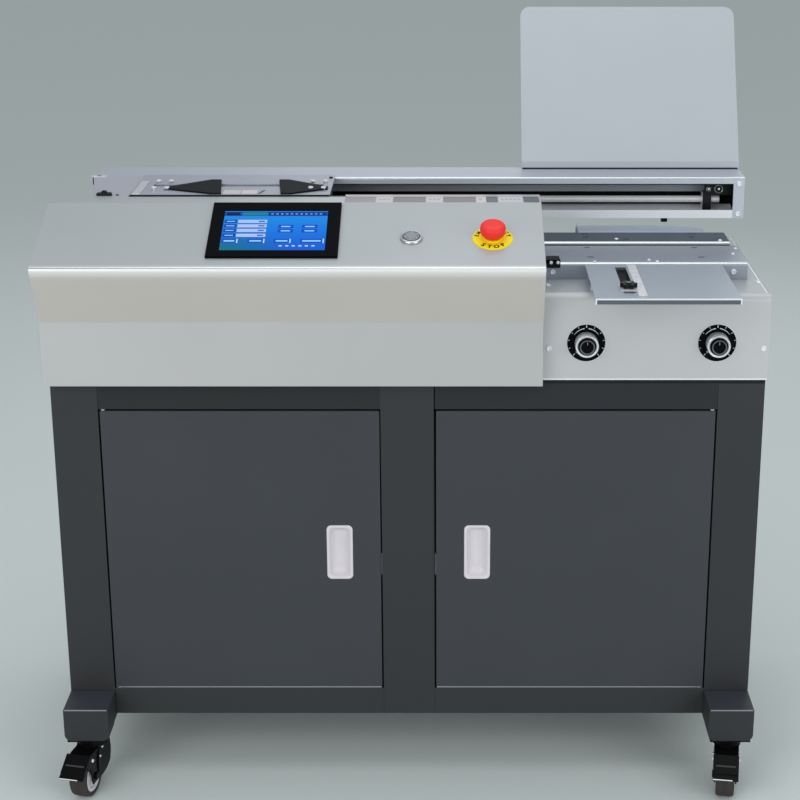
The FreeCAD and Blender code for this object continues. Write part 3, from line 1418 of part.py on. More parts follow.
def make_bearings():
    """Two bearing blocks on the guide rod and the fork that grips the belt."""
    low = f"({guide_z} - bearing_drop)"
    high = f"({guide_z} + bearing_drop)"
    blocks = []
    for x in ("carriage_left + bearing_inset", f"{carriage_right} - bearing_inset - bearing_long"):
        block = span((x, carriage_back_y, low),
                     (f"{x} + bearing_long", f"{guide_y} + bearing_wrap / 2", high))
        bore = cylinder("guide_radius + running_fit", "2 * bearing_long",
                        (f"{x} - bearing_long / 2", guide_y, guide_z), "x")
        blocks.append(cut(block, bore))
    belt_front = f"({pulley_y} - pulley_radius - seat_gap - belt_thick)"
    belt_low = f"({pulley_z} + (pulley_tall - belt_wide) / 2)"
    x = "(carriage_left + belt_clamp_inset)"
    fork_low = f"({belt_low} - seat_gap)"
    grip = span((x, carriage_back_y, fork_low),
                (f"{x} + belt_clamp_long", f"{belt_front} + belt_thick + seat_gap + belt_clamp_wall",
                 f"{fork_low} + belt_clamp_tall"))
    slot = span((f"{x} - belt_clamp_wall", f"{belt_front} - seat_gap", f"{fork_low} - belt_clamp_wall"),
                (f"{x} + belt_clamp_long + belt_clamp_wall", f"{belt_front} + belt_thick + seat_gap",
                 f"{belt_low} + belt_wide + seat_gap"))
    node("carriage_bearings", group(*blocks, cut(grip, slot)))


def make_arms():
    """Two tapered cover arms over the mouth, and the screws round their tips."""
    line = "mouth_line"
    arms = []
    screws = []
    for edge, inward, inset, long, screw_inset in (
            ("carriage_left", 1, "left_arm_inset", "left_arm_long", "left_screw_inset"),
            (carriage_right, -1, "right_arm_inset", "right_arm_long", "right_screw_inset")):
        tip = f"({edge} + {inward} * {inset})"
        wide = f"({tip} + {inward} * {long})"
        shoulder = f"({wide} - {inward} * arm_square)"
        tip_line = f"({line} - arm_tip_ahead)"
        outline = [(tip, f"{tip_line} - arm_tip_half"),
                   (f"{shoulder} + arm_end_slant / 2", f"{line} - arm_front_half"),
                   (f"{wide} + arm_end_slant / 2", f"{line} - arm_front_half"),
                   (f"{wide} - arm_end_slant / 2", f"{line} + arm_rear_half"),
                   (f"{shoulder} - arm_end_slant / 2", f"{line} + arm_rear_half"),
                   (tip, f"{tip_line} + arm_tip_half")]
        arms.append(prism("z", outline, plate_high, "arm_thick"))
        for step in (0, 1):
            x = f"({edge} + {inward} * ({screw_inset} + {step} * arm_screw_spacing))"
            for y in (f"{line} - arm_screw_front", f"{line} + arm_screw_rear"):
                screws.append(cylinder("arm_screw_radius", "arm_screw_tall", (x, y, plate_high)))
    node("clamp_arms", group(*arms, cut(group(*screws), *arms)))


# ---------------------------------------------------------------- loading, milling and gluing

def make_spine_table():
    middle = "mouth_line"
    top = span(("spine_table_left", f"{middle} - spine_table_deep / 2",
                "spine_level - spine_table_thick"),
               ("spine_table_left + spine_table_long", f"{middle} + spine_table_deep / 2", "spine_level"))
    leg = box_tube(("spine_table_left + spine_leg_inset", f"{middle} - spine_leg_deep / 2", "deck_level"),
                   ("spine_table_left + spine_table_long - spine_leg_inset",
                    f"{middle} + spine_leg_deep / 2", "spine_level - spine_table_thick"), "z")
    return fuse(top, leg)


def make_milling():
    """Upright motor on the deck and the toothed cutter disc on its shaft."""
    at = ("cutter_middle", "mouth_line", "0")
    shaft_low = "(cutter_top - cutter_thick - cutter_shaft_long)"
    body_top = "(deck_level + motor_tall)"
    neck_top = f"({body_top} + motor_neck_tall)"
    bore = "(cutter_shaft_radius + running_fit)"
    motor = lathe([("0", "deck_level"), ("motor_radius", "deck_level"), ("motor_radius", body_top),
                   ("motor_neck_radius", body_top), ("motor_neck_radius", neck_top), (bore, neck_top),
                   (bore, f"{shaft_low} - seat_gap"), ("0", f"{shaft_low} - seat_gap")], at)
    node("motors", group(motor, make_drive_motor(), make_glue_motor()))
    disc_low = "(cutter_top - cutter_thick)"
    disc = lathe([("0", shaft_low), ("cutter_shaft_radius", shaft_low), ("cutter_shaft_radius", disc_low),
                  ("cutter_radius", disc_low), ("cutter_radius", "cutter_top"),
                  ("cutter_radius - cutter_rim", "cutter_top"),
                  ("cutter_radius - cutter_rim", "cutter_top - cutter_dish"),
                  ("0", "cutter_top - cutter_dish")], at)
    notches = []
    reach = "(cutter_radius + cutter_notch_radius / 3)"
    for angle in range(0, 360, 30):
        notches.append(cylinder("cutter_notch_radius", "cutter_thick * 2",
                                (f"cutter_middle + {reach} * cos({angle})",
                                 f"mouth_line + {reach} * sin({angle})",
                                 f"{disc_low} - cutter_thick / 2")))
    node("cutter_disc", cut(disc, *notches))


def make_chip_way():
    """Duct that hangs by its collar in the deck, and the open bin below it."""
    duct = lathe([("duct_radius - sheet", "duct_low"), ("duct_radius", "duct_low"),
                  ("duct_radius", "deck_level"),
                  ("duct_collar_radius", "deck_level"),
                  ("duct_collar_radius", "deck_level + duct_collar_tall"),
                  ("duct_radius", "deck_level + duct_collar_tall"), ("duct_radius", "duct_top"),
                  ("duct_radius - sheet", "duct_top")], ("duct_middle", "mouth_line", "0"))
    floor_top = f"({foot_top} + sheet)"
    chip_bin = span(("bin_left", "bin_start", floor_top),
                    ("bin_left + bin_long", "bin_start + bin_deep", f"{floor_top} + bin_tall"))
    space = span(("bin_left + sheet", "bin_start + sheet", f"{floor_top} + sheet"),
                 ("bin_left + bin_long - sheet", "bin_start + bin_deep - sheet",
                  f"{floor_top} + 2 * bin_tall"))
    node("chip_duct", duct)
    node("scrap_bin", cut(chip_bin, space))


def make_gluing():
    """Cast tank with two rollers across it, on its heater plate and stand beside the spine table."""
    front, back = "(mouth_line - tank_deep / 2)", "(mouth_line + tank_deep / 2)"
    right = "(tank_left + tank_long)"
    tank = span(("tank_left", front, "tank_low"), (right, back, "tank_low + tank_tall"))
    inside = span(("tank_left + tank_wall", f"{front} + tank_wall", "tank_low + tank_wall"),
                  (f"{right} - tank_wall", f"{back} - tank_wall", "tank_low + 2 * tank_tall"))
    middles = (first_roller, f"({right} - roller_inset)")
    bores = [cylinder("roller_axle_radius + running_fit", "2 * tank_deep",
                      (x, f"{front} - tank_deep / 2", "roller_level"), "y")
             for x in middles]
    node("glue_tank", cut(tank, inside, *bores))
    ends = ("tank_wall + roller_end_gap", "tank_deep - tank_wall - roller_end_gap")
    for name, x, tail in (("one", middles[0], "(tank_deep + coupling_long)"),
                          ("two", middles[1], "(tank_deep + roller_axle_out)")):
        node(f"glue_roller_{name}", lathe([("0", "-roller_axle_out"),
                                           ("roller_axle_radius", "-roller_axle_out"),
                                           ("roller_axle_radius", ends[0]),
                                           ("roller_radius", ends[0]), ("roller_radius", ends[1]),
                                           ("roller_axle_radius", ends[1]), ("roller_axle_radius", tail),
                                           ("0", tail)],
                                          (x, front, "roller_level"), "y"))
    heater = span(("tank_left + heater_inset", f"{front} + heater_inset", "tank_low - heater_thick"),
                  (f"{right} - heater_inset", f"{back} - heater_inset", "tank_low"))
    stand = box_tube(("tank_left + stand_inset", f"{front} + stand_inset", "deck_level"),
                     (f"{right} - stand_inset", f"{back} - stand_inset", "tank_low - heater_thick"),
                     "z")
    node("process_stands", group(make_spine_table(), heater, stand))


def make_glue_motor():
    """Gear motor behind the tank on its own foot, bored for the first roller's axle."""
    motor_x = f"({first_roller} - glue_motor_wide / 2)"
    motor_y = "(mouth_line + tank_deep / 2 + glue_motor_gap)"
    motor_low = "(roller_level - glue_motor_tall / 2)"
    motor = box(("glue_motor_wide", "glue_motor_deep", "glue_motor_tall"), (motor_x, motor_y, motor_low))
    foot = span((f"{motor_x} + glue_foot_inset", f"{motor_y} + glue_foot_inset", "deck_level"),
                (f"{motor_x} + glue_motor_wide - glue_foot_inset", f"{motor_y} + 4 * glue_foot_inset",
                 motor_low))
    shaft_bore = cylinder("roller_axle_radius + running_fit", "coupling_long",
                          (first_roller, f"{motor_y} - seat_gap", "roller_level"), "y")
    return cut(fuse(motor, foot), shaft_bore)


# ---------------------------------------------------------------- covers, tray and cabinet contents

def make_covers():
    """Left cover between housing and beam, slanted in plan, and the sheet that closes the rear."""
    right = "(carriage_left - carriage_gap)"
    front_left = "(left_cover_left + left_cover_slant)"
    top_low = f"({panel_top_z} - sheet)"
    top = prism("z", [(front_left, housing_back), (right, housing_back), (right, "beam_front"),
                      ("left_cover_left", "beam_front")], top_low, "sheet")
    wall = prism("z", [(front_left, housing_back), (f"{front_left} + sheet", housing_back),
                       ("left_cover_left + sheet", "beam_front"), ("left_cover_left", "beam_front")],
                 "deck_level", f"{top_low} - deck_level")
    rear = span(("left_cover_left", f"{beam_back} - 2 * sheet", "deck_level"),
                ("nip_left - rear_cover_gap", f"{beam_back} - sheet", "beam_low"))
    node("machine_covers", group(fuse(top, wall), rear))


def make_tray():
    """Bent sheet tray: foot on the beam, short upright lip, long plate leaning back."""
    foot_top_level = "(beam_high + sheet)"
    lip_top = "(beam_high + tray_lip)"
    reach, rise = "tray_long * sin(tray_lean)", "tray_long * cos(tray_lean)"
    top = (f"{tray_front} + {reach}", f"{lip_top} + {rise}")
    top_back = (f"{top[0]} + sheet * cos(tray_lean)", f"{top[1]} - sheet * sin(tray_lean)")
    profile = [(tray_front, "beam_high"), (tray_front, lip_top), top, top_back,
               (f"{tray_front} + sheet", f"{lip_top} - sheet * tan(tray_lean / 2)"),
               (f"{tray_front} + sheet", foot_top_level), (f"{tray_front} + tray_foot", foot_top_level),
               (f"{tray_front} + tray_foot", "beam_high")]
    body = prism("x", profile, "beam_right - tray_width", "tray_width")
    solid = body.Tip
    names = []
    for index, edge in enumerate(solid.Shape.Edges, 1):
        middle = edge.CenterOfMass
        if abs(edge.Length - number("sheet")) < 1e-4 and middle.z > number(lip_top) + number(rise) / 2:
            names.append(f"Edge{index}")
    corners = body.newObject("PartDesign::Fillet", "Corners")
    corners.Base = (solid, names)
    bind(corners, "Radius", "tray_corner")
    node("cover_tray", body)


def make_control_box():
    """Sheet case of the electrics on the cabinet floor, open at the rear."""
    floor_top = f"({foot_top} + sheet)"
    case = span(("control_left", "control_start", floor_top),
                ("control_left + control_long", "control_start + control_deep",
                 f"{floor_top} + control_tall"))
    inside = span(("control_left + sheet", "control_start + sheet", f"{floor_top} + sheet"),
                  ("control_left + control_long - sheet", "control_start + 2 * control_deep",
                   f"{floor_top} + control_tall - sheet"))
    node("control_box", cut(case, inside))


def make_screws():
    """Bright pan heads on the station's front and top, the front jaw and the beam's end caps."""
    dial_level = "(deck_level + dial_height - screw_below_dial)"
    jaw_level = f"{nip_top} + jaw_screw_height"
    cap_middle = "beam_right - end_cap_wide / 2"
    on_front = [("nip_left + screw_side_inset", "0", dial_level),
                (f"{nip_right} - screw_side_inset", "0", dial_level),
                (f"{jaw_left} + jaw_screw_left", "front_jaw_start", jaw_level),
                (f"{jaw_left} + front_jaw_long - jaw_screw_right", "front_jaw_start", jaw_level),
                (cap_middle, "beam_front", "beam_high - cap_screw_drop"),
                (cap_middle, "beam_front", "beam_low + cap_screw_height")]
    screws = [cylinder("screw_radius", "screw_tall", at, "front") for at in on_front]
    for x, y in ((f"{nip_right} - top_screw_inset", "front_jaw_start - top_screw_right_ahead"),
                 ("nip_left + screw_side_inset", "front_jaw_start - top_screw_left_ahead")):
        screws.append(cylinder("screw_radius", "screw_tall", (x, y, nip_top)))
    node("machine_screws", group(*screws))


MAKERS = (
    make_cabinet_frame, make_cabinet_sheets, make_back_panel, make_doors, make_casters, make_housing,
    make_screen, make_start_button, make_estop, make_nip_body, make_dials, make_nip_jaws,
    make_rear_plate, make_lift_table, make_switches, make_cover_table, make_cover_stop, make_beam,
    make_guide, make_belt_drive, make_carriage_plate, make_carriage_frame, make_moving_jaw,
    make_bearings, make_arms, make_milling, make_chip_way, make_gluing, make_covers, make_tray,
    make_control_box, make_screws)
for make in MAKERS:
    make()
doc.recompute()

# ---------------------------------------------------------------- checks and export

for item in doc.Objects:
    if {"Invalid", "Error"} & set(item.State):
        raise RuntimeError(f"{item.Name} ({item.Label}) failed: {item.State}")
for piece in nodes:
    if piece.Shape.isNull() or not piece.Shape.isValid() or not piece.Shape.Solids:
        raise RuntimeError(f"{piece.Label} has no valid solid")

os.makedirs("parts", exist_ok=True)
for piece in nodes:
    piece.Shape.exportStep(f"parts/{piece.Label}.step")
print(len(nodes), "pieces written")
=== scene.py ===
"""A floor-standing perfect binding machine: its finishes and fine pieces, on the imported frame."""

import json
import math
import bmesh
import bpy
from mathutils import Matrix, Vector

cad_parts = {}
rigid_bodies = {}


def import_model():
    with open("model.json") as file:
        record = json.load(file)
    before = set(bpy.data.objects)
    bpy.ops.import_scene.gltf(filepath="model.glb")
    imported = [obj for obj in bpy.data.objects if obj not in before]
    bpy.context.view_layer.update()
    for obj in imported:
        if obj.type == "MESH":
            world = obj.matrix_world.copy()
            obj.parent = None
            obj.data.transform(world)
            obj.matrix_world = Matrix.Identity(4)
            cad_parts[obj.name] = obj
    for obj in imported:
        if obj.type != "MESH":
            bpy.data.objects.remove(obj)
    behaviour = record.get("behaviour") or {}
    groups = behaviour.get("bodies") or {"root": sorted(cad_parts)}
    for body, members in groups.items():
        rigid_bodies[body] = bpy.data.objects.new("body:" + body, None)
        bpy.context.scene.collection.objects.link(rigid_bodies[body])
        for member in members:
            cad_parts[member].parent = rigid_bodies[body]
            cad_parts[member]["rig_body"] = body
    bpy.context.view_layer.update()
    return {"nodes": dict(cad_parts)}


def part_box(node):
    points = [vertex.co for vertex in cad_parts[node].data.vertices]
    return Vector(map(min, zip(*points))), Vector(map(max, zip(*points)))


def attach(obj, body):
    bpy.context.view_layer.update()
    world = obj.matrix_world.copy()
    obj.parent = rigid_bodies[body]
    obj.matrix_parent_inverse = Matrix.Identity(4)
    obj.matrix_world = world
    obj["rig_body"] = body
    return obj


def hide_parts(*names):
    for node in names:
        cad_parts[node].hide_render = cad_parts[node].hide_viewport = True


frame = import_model()

# Places are in millimetres: X to the right, Y back from the cabinet's front plane, Z up from
# the floor.
MM = 0.001
FRONT_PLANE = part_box("door_left")[0].y / MM
SHIFT = Vector((0, FRONT_PLANE, 0))

PANEL_SLOPE = math.radians(20.7)
PANEL_NOSE = Vector((0, -82, 953))
HOUSING_TOP = 1022.3
FOOT_TOP = 165
NIP_TOP = 891
TABLE_TOP = 918
FRONT_JAW_TOP, REAR_JAW_TOP = 920, 926
BEAM_TOP, BEAM_FRONT = 1020, 333
PLATE_TOP, ARM_TOP = 1025, 1028
SKIN = 0.1  # how far a label or a slot's floor reaches into the sheet that it lies on

UP, TO_FRONT = (0, 0, 1), (0, -1, 0)
FACING = 0.9  # the share of a face's normal along an axis from which the face looks that way
WELD = 1e-6
FLAT_ANGLE = math.radians(0.6)


def place(x, y, z):
    return Vector((x, y + FRONT_PLANE, z)) * MM


def node_box(node):
    """A node's lowest and highest corners, in the machine's millimetres."""
    low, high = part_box(node)
    return low / MM - SHIFT, high / MM - SHIFT


# ---------------------------------------------------------------- finishes

FINISHES = {}


def linear(red, green, blue):
    """A colour as the eye reads it, 0 to 255, in the shader's own scale."""
    def one(value):
        value /= 255
        return value / 12.92 if value <= 0.04045 else ((value + 0.055) / 1.055) ** 2.4
    return one(red), one(green), one(blue), 1.0


def fed(tree, target, inputs):
    """Sets a node's inputs. An input that is given a socket is linked to it."""
    for name, value in inputs.items():
        if isinstance(value, bpy.types.NodeSocket):
            tree.links.new(value, target.inputs[name])
        else:
            target.inputs[name].default_value = value
    return target


def added(tree, kind, inputs=None, **settings):
    node = tree.nodes.new(kind)
    for name, value in settings.items():
        setattr(node, name, value)
    return fed(tree, node, inputs or {})


def blank_finish(name, colour, rough, metal):
    material = bpy.data.materials.new(name)
    material.use_nodes = True
    FINISHES[name] = material
    tree = material.node_tree
    return tree, fed(tree, tree.nodes["Principled BSDF"], {
        "Base Color": linear(*colour), "Roughness": rough, "Metallic": metal})


def own_place(tree):
    return added(tree, "ShaderNodeTexCoord").outputs["Object"]


def grown_noise(tree, stretch, scale, detail=3.0):
    """Noise in the piece's own coordinates, stretched along an axis for a brushed grain."""
    mapping = added(tree, "ShaderNodeMapping", {"Scale": stretch, "Vector": own_place(tree)})
    return added(tree, "ShaderNodeTexNoise", {
        "Scale": scale, "Detail": detail, "Vector": mapping.outputs["Vector"]}).outputs["Fac"]


def ranged(tree, value, low, high):
    """Spreads the middle half of a noise's values from low to high."""
    return added(tree, "ShaderNodeMapRange", {
        "From Min": 0.25, "From Max": 0.75, "To Min": low, "To Max": high,
        "Value": value}).outputs["Result"]


def mixed(tree, share, first, second):
    """Two colours, or a socket and a colour, mixed by a socket's value."""
    mix = added(tree, "ShaderNodeMix", {"Factor": share}, data_type="RGBA")
    for name, colour in (("A", first), ("B", second)):
        socket = next(s for s in mix.inputs if s.name == name and s.type == "RGBA")
        if isinstance(colour, tuple):
            socket.default_value = colour
        else:
            tree.links.new(colour, socket)
    return next(s for s in mix.outputs if s.type == "RGBA")


def bumped(tree, shader, height, depth, strength):
    bump = added(tree, "ShaderNodeBump", {
        "Strength": strength, "Distance": depth, "Height": height})
    fed(tree, shader, {"Normal": bump.outputs["Normal"]})


def shaded(tree, shader, colour, drift, clouds):
    """Colour that drifts a little lighter and darker over the piece."""
    dark = tuple(channel * (1 - drift) for channel in colour[:3]) + (1.0,)
    light = tuple(min(1.0, channel * (1 + drift)) for channel in colour[:3]) + (1.0,)
    fed(tree, shader, {"Base Color": mixed(tree, ranged(tree, clouds, 0, 1), dark, light)})


EVEN, BRUSH_X, BRUSH_Z = (1, 1, 1), (0.03, 1, 1), (1, 1, 0.03)


def sheet_finish(name, colour, rough, metal, stretch, grain, drift, depth, shine=0.5):
    """Painted or brushed metal: slow clouds in its colour, fine grain in gloss and relief."""
    tree, shader = blank_finish(name, colour, rough, metal)
    shaded(tree, shader, linear(*colour), drift, grown_noise(tree, EVEN, 7, 4))
    fine = grown_noise(tree, stretch, grain)
    bumped(tree, shader, fine, depth, 0.35)
    fed(tree, shader, {"Roughness": ranged(tree, fine, rough - 0.07, rough + 0.07),
                       "Specular IOR Level": shine})


def moulded_finish(name, colour, rough, shine=0.5, coat=0.0, grain=1400, depth=0.00001, drift=0.03):
    """Plastic, rubber or print: faint clouds in its colour and an even, very fine grain."""
    tree, shader = blank_finish(name, colour, rough, 0.0)
    shaded(tree, shader, linear(*colour), drift, grown_noise(tree, EVEN, 25, 2))
    fine = grown_noise(tree, EVEN, grain, 2)
    bumped(tree, shader, fine, depth, 0.3)
    fed(tree, shader, {"Roughness": ranged(tree, fine, rough - 0.04, rough + 0.05),
                       "Specular IOR Level": shine, "Coat Weight": coat})


def galvanised_finish(name, colour):
    """Zinc spangle: flat crystals, each a little lighter or darker."""
    tree, shader = blank_finish(name, colour, 0.45, 0.85)
    cells = added(tree, "ShaderNodeTexVoronoi", {"Scale": 90, "Vector": own_place(tree)})
    grey = added(tree, "ShaderNodeRGBToBW", {"Color": cells.outputs["Color"]}).outputs["Val"]
    shaded(tree, shader, linear(*colour), 0.18, grey)
    fed(tree, shader, {"Roughness": ranged(tree, grey, 0.35, 0.6)})


def lit_finish(name):
    """Black glass that glows in each face's own colour, for the screen."""
    tree, shader = blank_finish(name, (4, 8, 20), 0.12, 0.0)
    shade = added(tree, "ShaderNodeVertexColor", layer_name="Shade")
    dust = grown_noise(tree, EVEN, 260, 2)
    fed(tree, shader, {"Emission Color": shade.outputs["Color"], "Emission Strength": 1.0,
                       "Specular IOR Level": 0.15, "Roughness": ranged(tree, dust, 0.06, 0.18)})


# Name, colour, roughness, metal, the grain's stretch and scale, drift, depth and, if set, shine.
for row in (
        ("silver_coat", (192, 200, 210), 0.42, 0.3, BRUSH_Z, 1400, 0.02, 0.00001),
        ("silver_front", (184, 190, 194), 0.40, 0.3, BRUSH_X, 1400, 0.02, 0.00001),
        # The next three coats are lighter copies of the silver sheet for faces that turn to the
        # front: painted light.
        ("silver_base", (190, 190, 191), 0.40, 0.3, BRUSH_X, 1400, 0.02, 0.00001),
        ("silver_station_lit", (199, 200, 202), 0.40, 0.3, BRUSH_X, 1400, 0.02, 0.00001),
        ("silver_undercut_lit", (202, 195, 190), 0.42, 0.3, BRUSH_X, 1400, 0.02, 0.00001),
        ("pale_coat", (228, 231, 236), 0.45, 0.0, BRUSH_X, 1400, 0.03, 0.00001),
        # A lighter, glossier copy of the sheets for their folds: a painted highlight.
        ("bend_shine", (226, 230, 234), 0.22, 0.9, BRUSH_X, 1500, 0.02, 0.000005),
        ("charcoal_coat", (41, 43, 46), 0.6, 0.0, EVEN, 1800, 0.05, 0.00004),
        # A darker copy of the beam's silver for its top: painted shade.
        ("beam_top_shade_coat", (182, 189, 201), 0.45, 0.25, BRUSH_X, 1400, 0.02, 0.00001),
        # Darker copy of the frame's charcoal for the rail, painted shade; lighter one for the
        # feet's tops, painted light.
        ("rail_shade_coat", (36, 38, 41), 0.62, 0.0, EVEN, 1800, 0.05, 0.00004, 0.35),
        ("foot_top_lit_coat", (60, 64, 72), 0.5, 0.0, EVEN, 1800, 0.04, 0.00004),
        ("door_coat", (53, 56, 62), 0.5, 0.0, EVEN, 1800, 0.04, 0.00004),
        ("brushed_plate", (175, 185, 196), 0.40, 0.4, BRUSH_X, 1500, 0.03, 0.00001),
        ("cover_top_coat", (182, 185, 199), 0.45, 0.3, BRUSH_X, 1500, 0.02, 0.00001),
        ("lilac_plate", (168, 174, 188), 0.45, 0.3, BRUSH_X, 1500, 0.02, 0.00001),
        ("rear_plate_coat", (226, 238, 254), 0.42, 0.2, BRUSH_X, 1500, 0.03, 0.00001),
        ("tray_sheet", (185, 192, 198), 0.5, 0.25, BRUSH_X, 1500, 0.015, 0.000005),
        ("bright_plate", (212, 217, 224), 0.34, 0.45, BRUSH_X, 1500, 0.03, 0.00001),
        ("grey_plate", (160, 168, 180), 0.38, 0.45, BRUSH_X, 1500, 0.04, 0.00001),
        ("dark_plate", (118, 130, 144), 0.40, 0.45, BRUSH_X, 1500, 0.05, 0.00001),
        ("jaw_plate", (88, 99, 112), 0.40, 0.45, BRUSH_X, 1500, 0.05, 0.00001),
        ("shadow_coat", (26, 28, 32), 0.6, 0.0, BRUSH_X, 1200, 0.08, 0.00002, 0.2),
        ("steel_grey", (150, 152, 156), 0.5, 0.3, EVEN, 1200, 0.1, 0.00005),
        # A slate grey used as painted shade on the station's side, the table's flange and the
        # housing strip, and as a painted highlight ring on the knobs' black caps.
        ("slate_shade_and_sheen", (88, 96, 105), 0.45, 0.2, BRUSH_X, 1200, 0.06, 0.00002),
        ("belt_grey", (142, 147, 154), 0.6, 0.0, EVEN, 700, 0.06, 0.00004),
        ("milled_steel", (158, 160, 164), 0.35, 0.8, (1, 0.05, 1), 1300, 0.05, 0.00001),
        ("ground_steel", (242, 243, 247), 0.26, 0.25, BRUSH_X, 1800, 0.02, 0.000005),
        ("black_enamel", (12, 13, 15), 0.34, 0.0, EVEN, 500, 0.1, 0.00002, 0.35),
        ("arm_enamel", (22, 25, 33), 0.6, 0.0, (0.3, 1, 1), 900, 0.08, 0.00002, 0.06),
        ("cast_alloy", (142, 144, 148), 0.55, 0.7, EVEN, 500, 0.08, 0.00012),
        ("zinc", (178, 180, 184), 0.33, 0.85, EVEN, 700, 0.08, 0.00002),
        ("bright_zinc", (226, 228, 230), 0.2, 0.9, EVEN, 900, 0.03, 0.00001)):
    sheet_finish(*row)
galvanised_finish("galvanised", (158, 162, 165))

# Name, colour, roughness and, if set, shine.
for row in (
        ("hub_white", (224, 222, 230), 0.35), ("black_gloss", (8, 8, 10), 0.24, 0.25),
        ("fork_black", (12, 12, 13), 0.32, 0.1), ("black_matt", (15, 16, 18), 0.55, 0.2),
        ("dial_black", (5, 6, 9), 0.6, 0.06), ("bezel_black", (9, 10, 15), 0.5, 0.03),
        ("case_grey", (96, 104, 112), 0.5), ("stop_yellow", (255, 235, 24), 0.5, 0.15),
        ("stop_red", (250, 50, 44), 0.42, 0.35), ("print_white", (224, 226, 230), 0.5),
        ("print_black", (10, 9, 8), 0.6, 0.1), ("pale_label", (204, 203, 209), 0.45),
        ("lilac_label", (150, 147, 156), 0.45), ("grey_label", (128, 126, 132), 0.45),
        ("rose_label", (214, 206, 210), 0.45), ("faint_print", (172, 170, 178), 0.5)):
    moulded_finish(*row)
moulded_finish("tread_rubber", (58, 52, 50), 0.75, grain=700, depth=0.00006, drift=0.12)
moulded_finish("white_gloss", (222, 217, 222), 0.3, coat=0.2)
lit_finish("screen_light")


def painted_fold_highlight(name, reach, share):
    """Paints a soft highlight into a coat's colour: it brightens towards the housing's nose, where
    the sheet is bent.
    """
    tree = FINISHES[name].node_tree
    base = tree.nodes["Principled BSDF"].inputs["Base Color"]
    split = added(tree, "ShaderNodeSeparateXYZ", {"Vector": own_place(tree)})
    nose = place(*PANEL_NOSE).y
    fade = added(tree, "ShaderNodeMapRange", {
        "From Min": nose, "From Max": nose + reach * MM, "To Min": share, "To Max": 0,
        "Value": split.outputs["Y"]}, interpolation_type="SMOOTHSTEP")
    fold_highlight = mixed(tree, fade.outputs["Result"], base.links[0].from_socket,
                     linear(250, 251, 252))
    tree.links.new(fold_highlight, base)


# Painted highlight: both coats lighten in colour towards the housing's nose fold.
painted_fold_highlight("silver_front", 13, 0.85)
painted_fold_highlight("silver_undercut_lit", 11, 0.85)


# ---------------------------------------------------------------- mesh helpers

class Form:
    """A mesh in the making, in the machine's millimetres, with a finish for each group of faces."""

    def __init__(self):
        self.bm = bmesh.new()
        self.finishes = []

    def paint(self, faces, finish):
        if finish not in self.finishes:
            self.finishes.append(finish)
        for face in faces:
            face.material_index = self.finishes.index(finish)

    def slab(self, low, high, finish, turn=None):
        """A block between two corners; turn is a matrix applied to it."""
        made = bmesh.ops.create_cube(self.bm, size=1)["verts"]
        middle = (Vector(low) + Vector(high)) / 2
        size = Vector(high) - Vector(low)
        for vert in made:
            vert.co = Vector([c * s for c, s in zip(vert.co, size)]) + middle
            if turn:
                vert.co = turn @ vert.co
        self.paint({face for vert in made for face in vert.link_faces}, finish)

    def outline(self, points, low, high, finish, axis="z", turn=None):
        """A flat outline pushed along an axis, from low to high."""
        order = {"x": lambda a, b, c: (c, a, b), "z": lambda a, b, c: (a, b, c)}[axis]
        bottom = [self.bm.verts.new(order(a, b, low)) for a, b in points]
        top = [self.bm.verts.new(order(a, b, high)) for a, b in points]
        faces = [self.bm.faces.new(bottom[::-1]), self.bm.faces.new(top)]
        count = len(points)
        for index in range(count):
            after = (index + 1) % count
            faces.append(self.bm.faces.new((bottom[index], bottom[after], top[after], top[index])))
        bmesh.ops.recalc_face_normals(self.bm, faces=faces)
        if turn:
            for vert in bottom + top:
                vert.co = turn @ vert.co
        self.paint(faces, finish)

    def turned(self, profile, matrix, finishes, sides=48):
        """A lathe piece: profile holds (radius, height); finishes is one name, or one a run."""
        rings = []
        for radius, height in profile:
            if radius < WELD:
                rings.append([self.bm.verts.new(matrix @ Vector((0, 0, height)))])
            else:
                rings.append([self.bm.verts.new(matrix @ Vector((
                    radius * math.cos(2 * math.pi * step / sides),
                    radius * math.sin(2 * math.pi * step / sides), height)))
                    for step in range(sides)])
        made = []
        for index, (lower, upper) in enumerate(zip(rings, rings[1:])):
            run = []
            for step in range(sides):
                after = (step + 1) % sides
                corners = [lower[step % len(lower)], lower[after % len(lower)],
                           upper[after % len(upper)], upper[step % len(upper)]]
                corners = list(dict.fromkeys(corners))
                if len(corners) > 2:
                    run.append(self.bm.faces.new(corners))
            self.paint(run, finishes if isinstance(finishes, str) else finishes[index])
            made += run
        bmesh.ops.recalc_face_normals(self.bm, faces=made)

    def made(self, name, node, edge=0.0, segments=2, replaced=(), smooth=35):
        """Turns the form into a piece of the machine that is fixed to a node."""
        mesh = bpy.data.meshes.new(name)
        for vert in self.bm.verts:
            vert.co = (vert.co + SHIFT) * MM
        self.bm.to_mesh(mesh)
        self.bm.free()
        return finished(name, mesh, self.finishes, node, edge, segments, replaced, smooth)


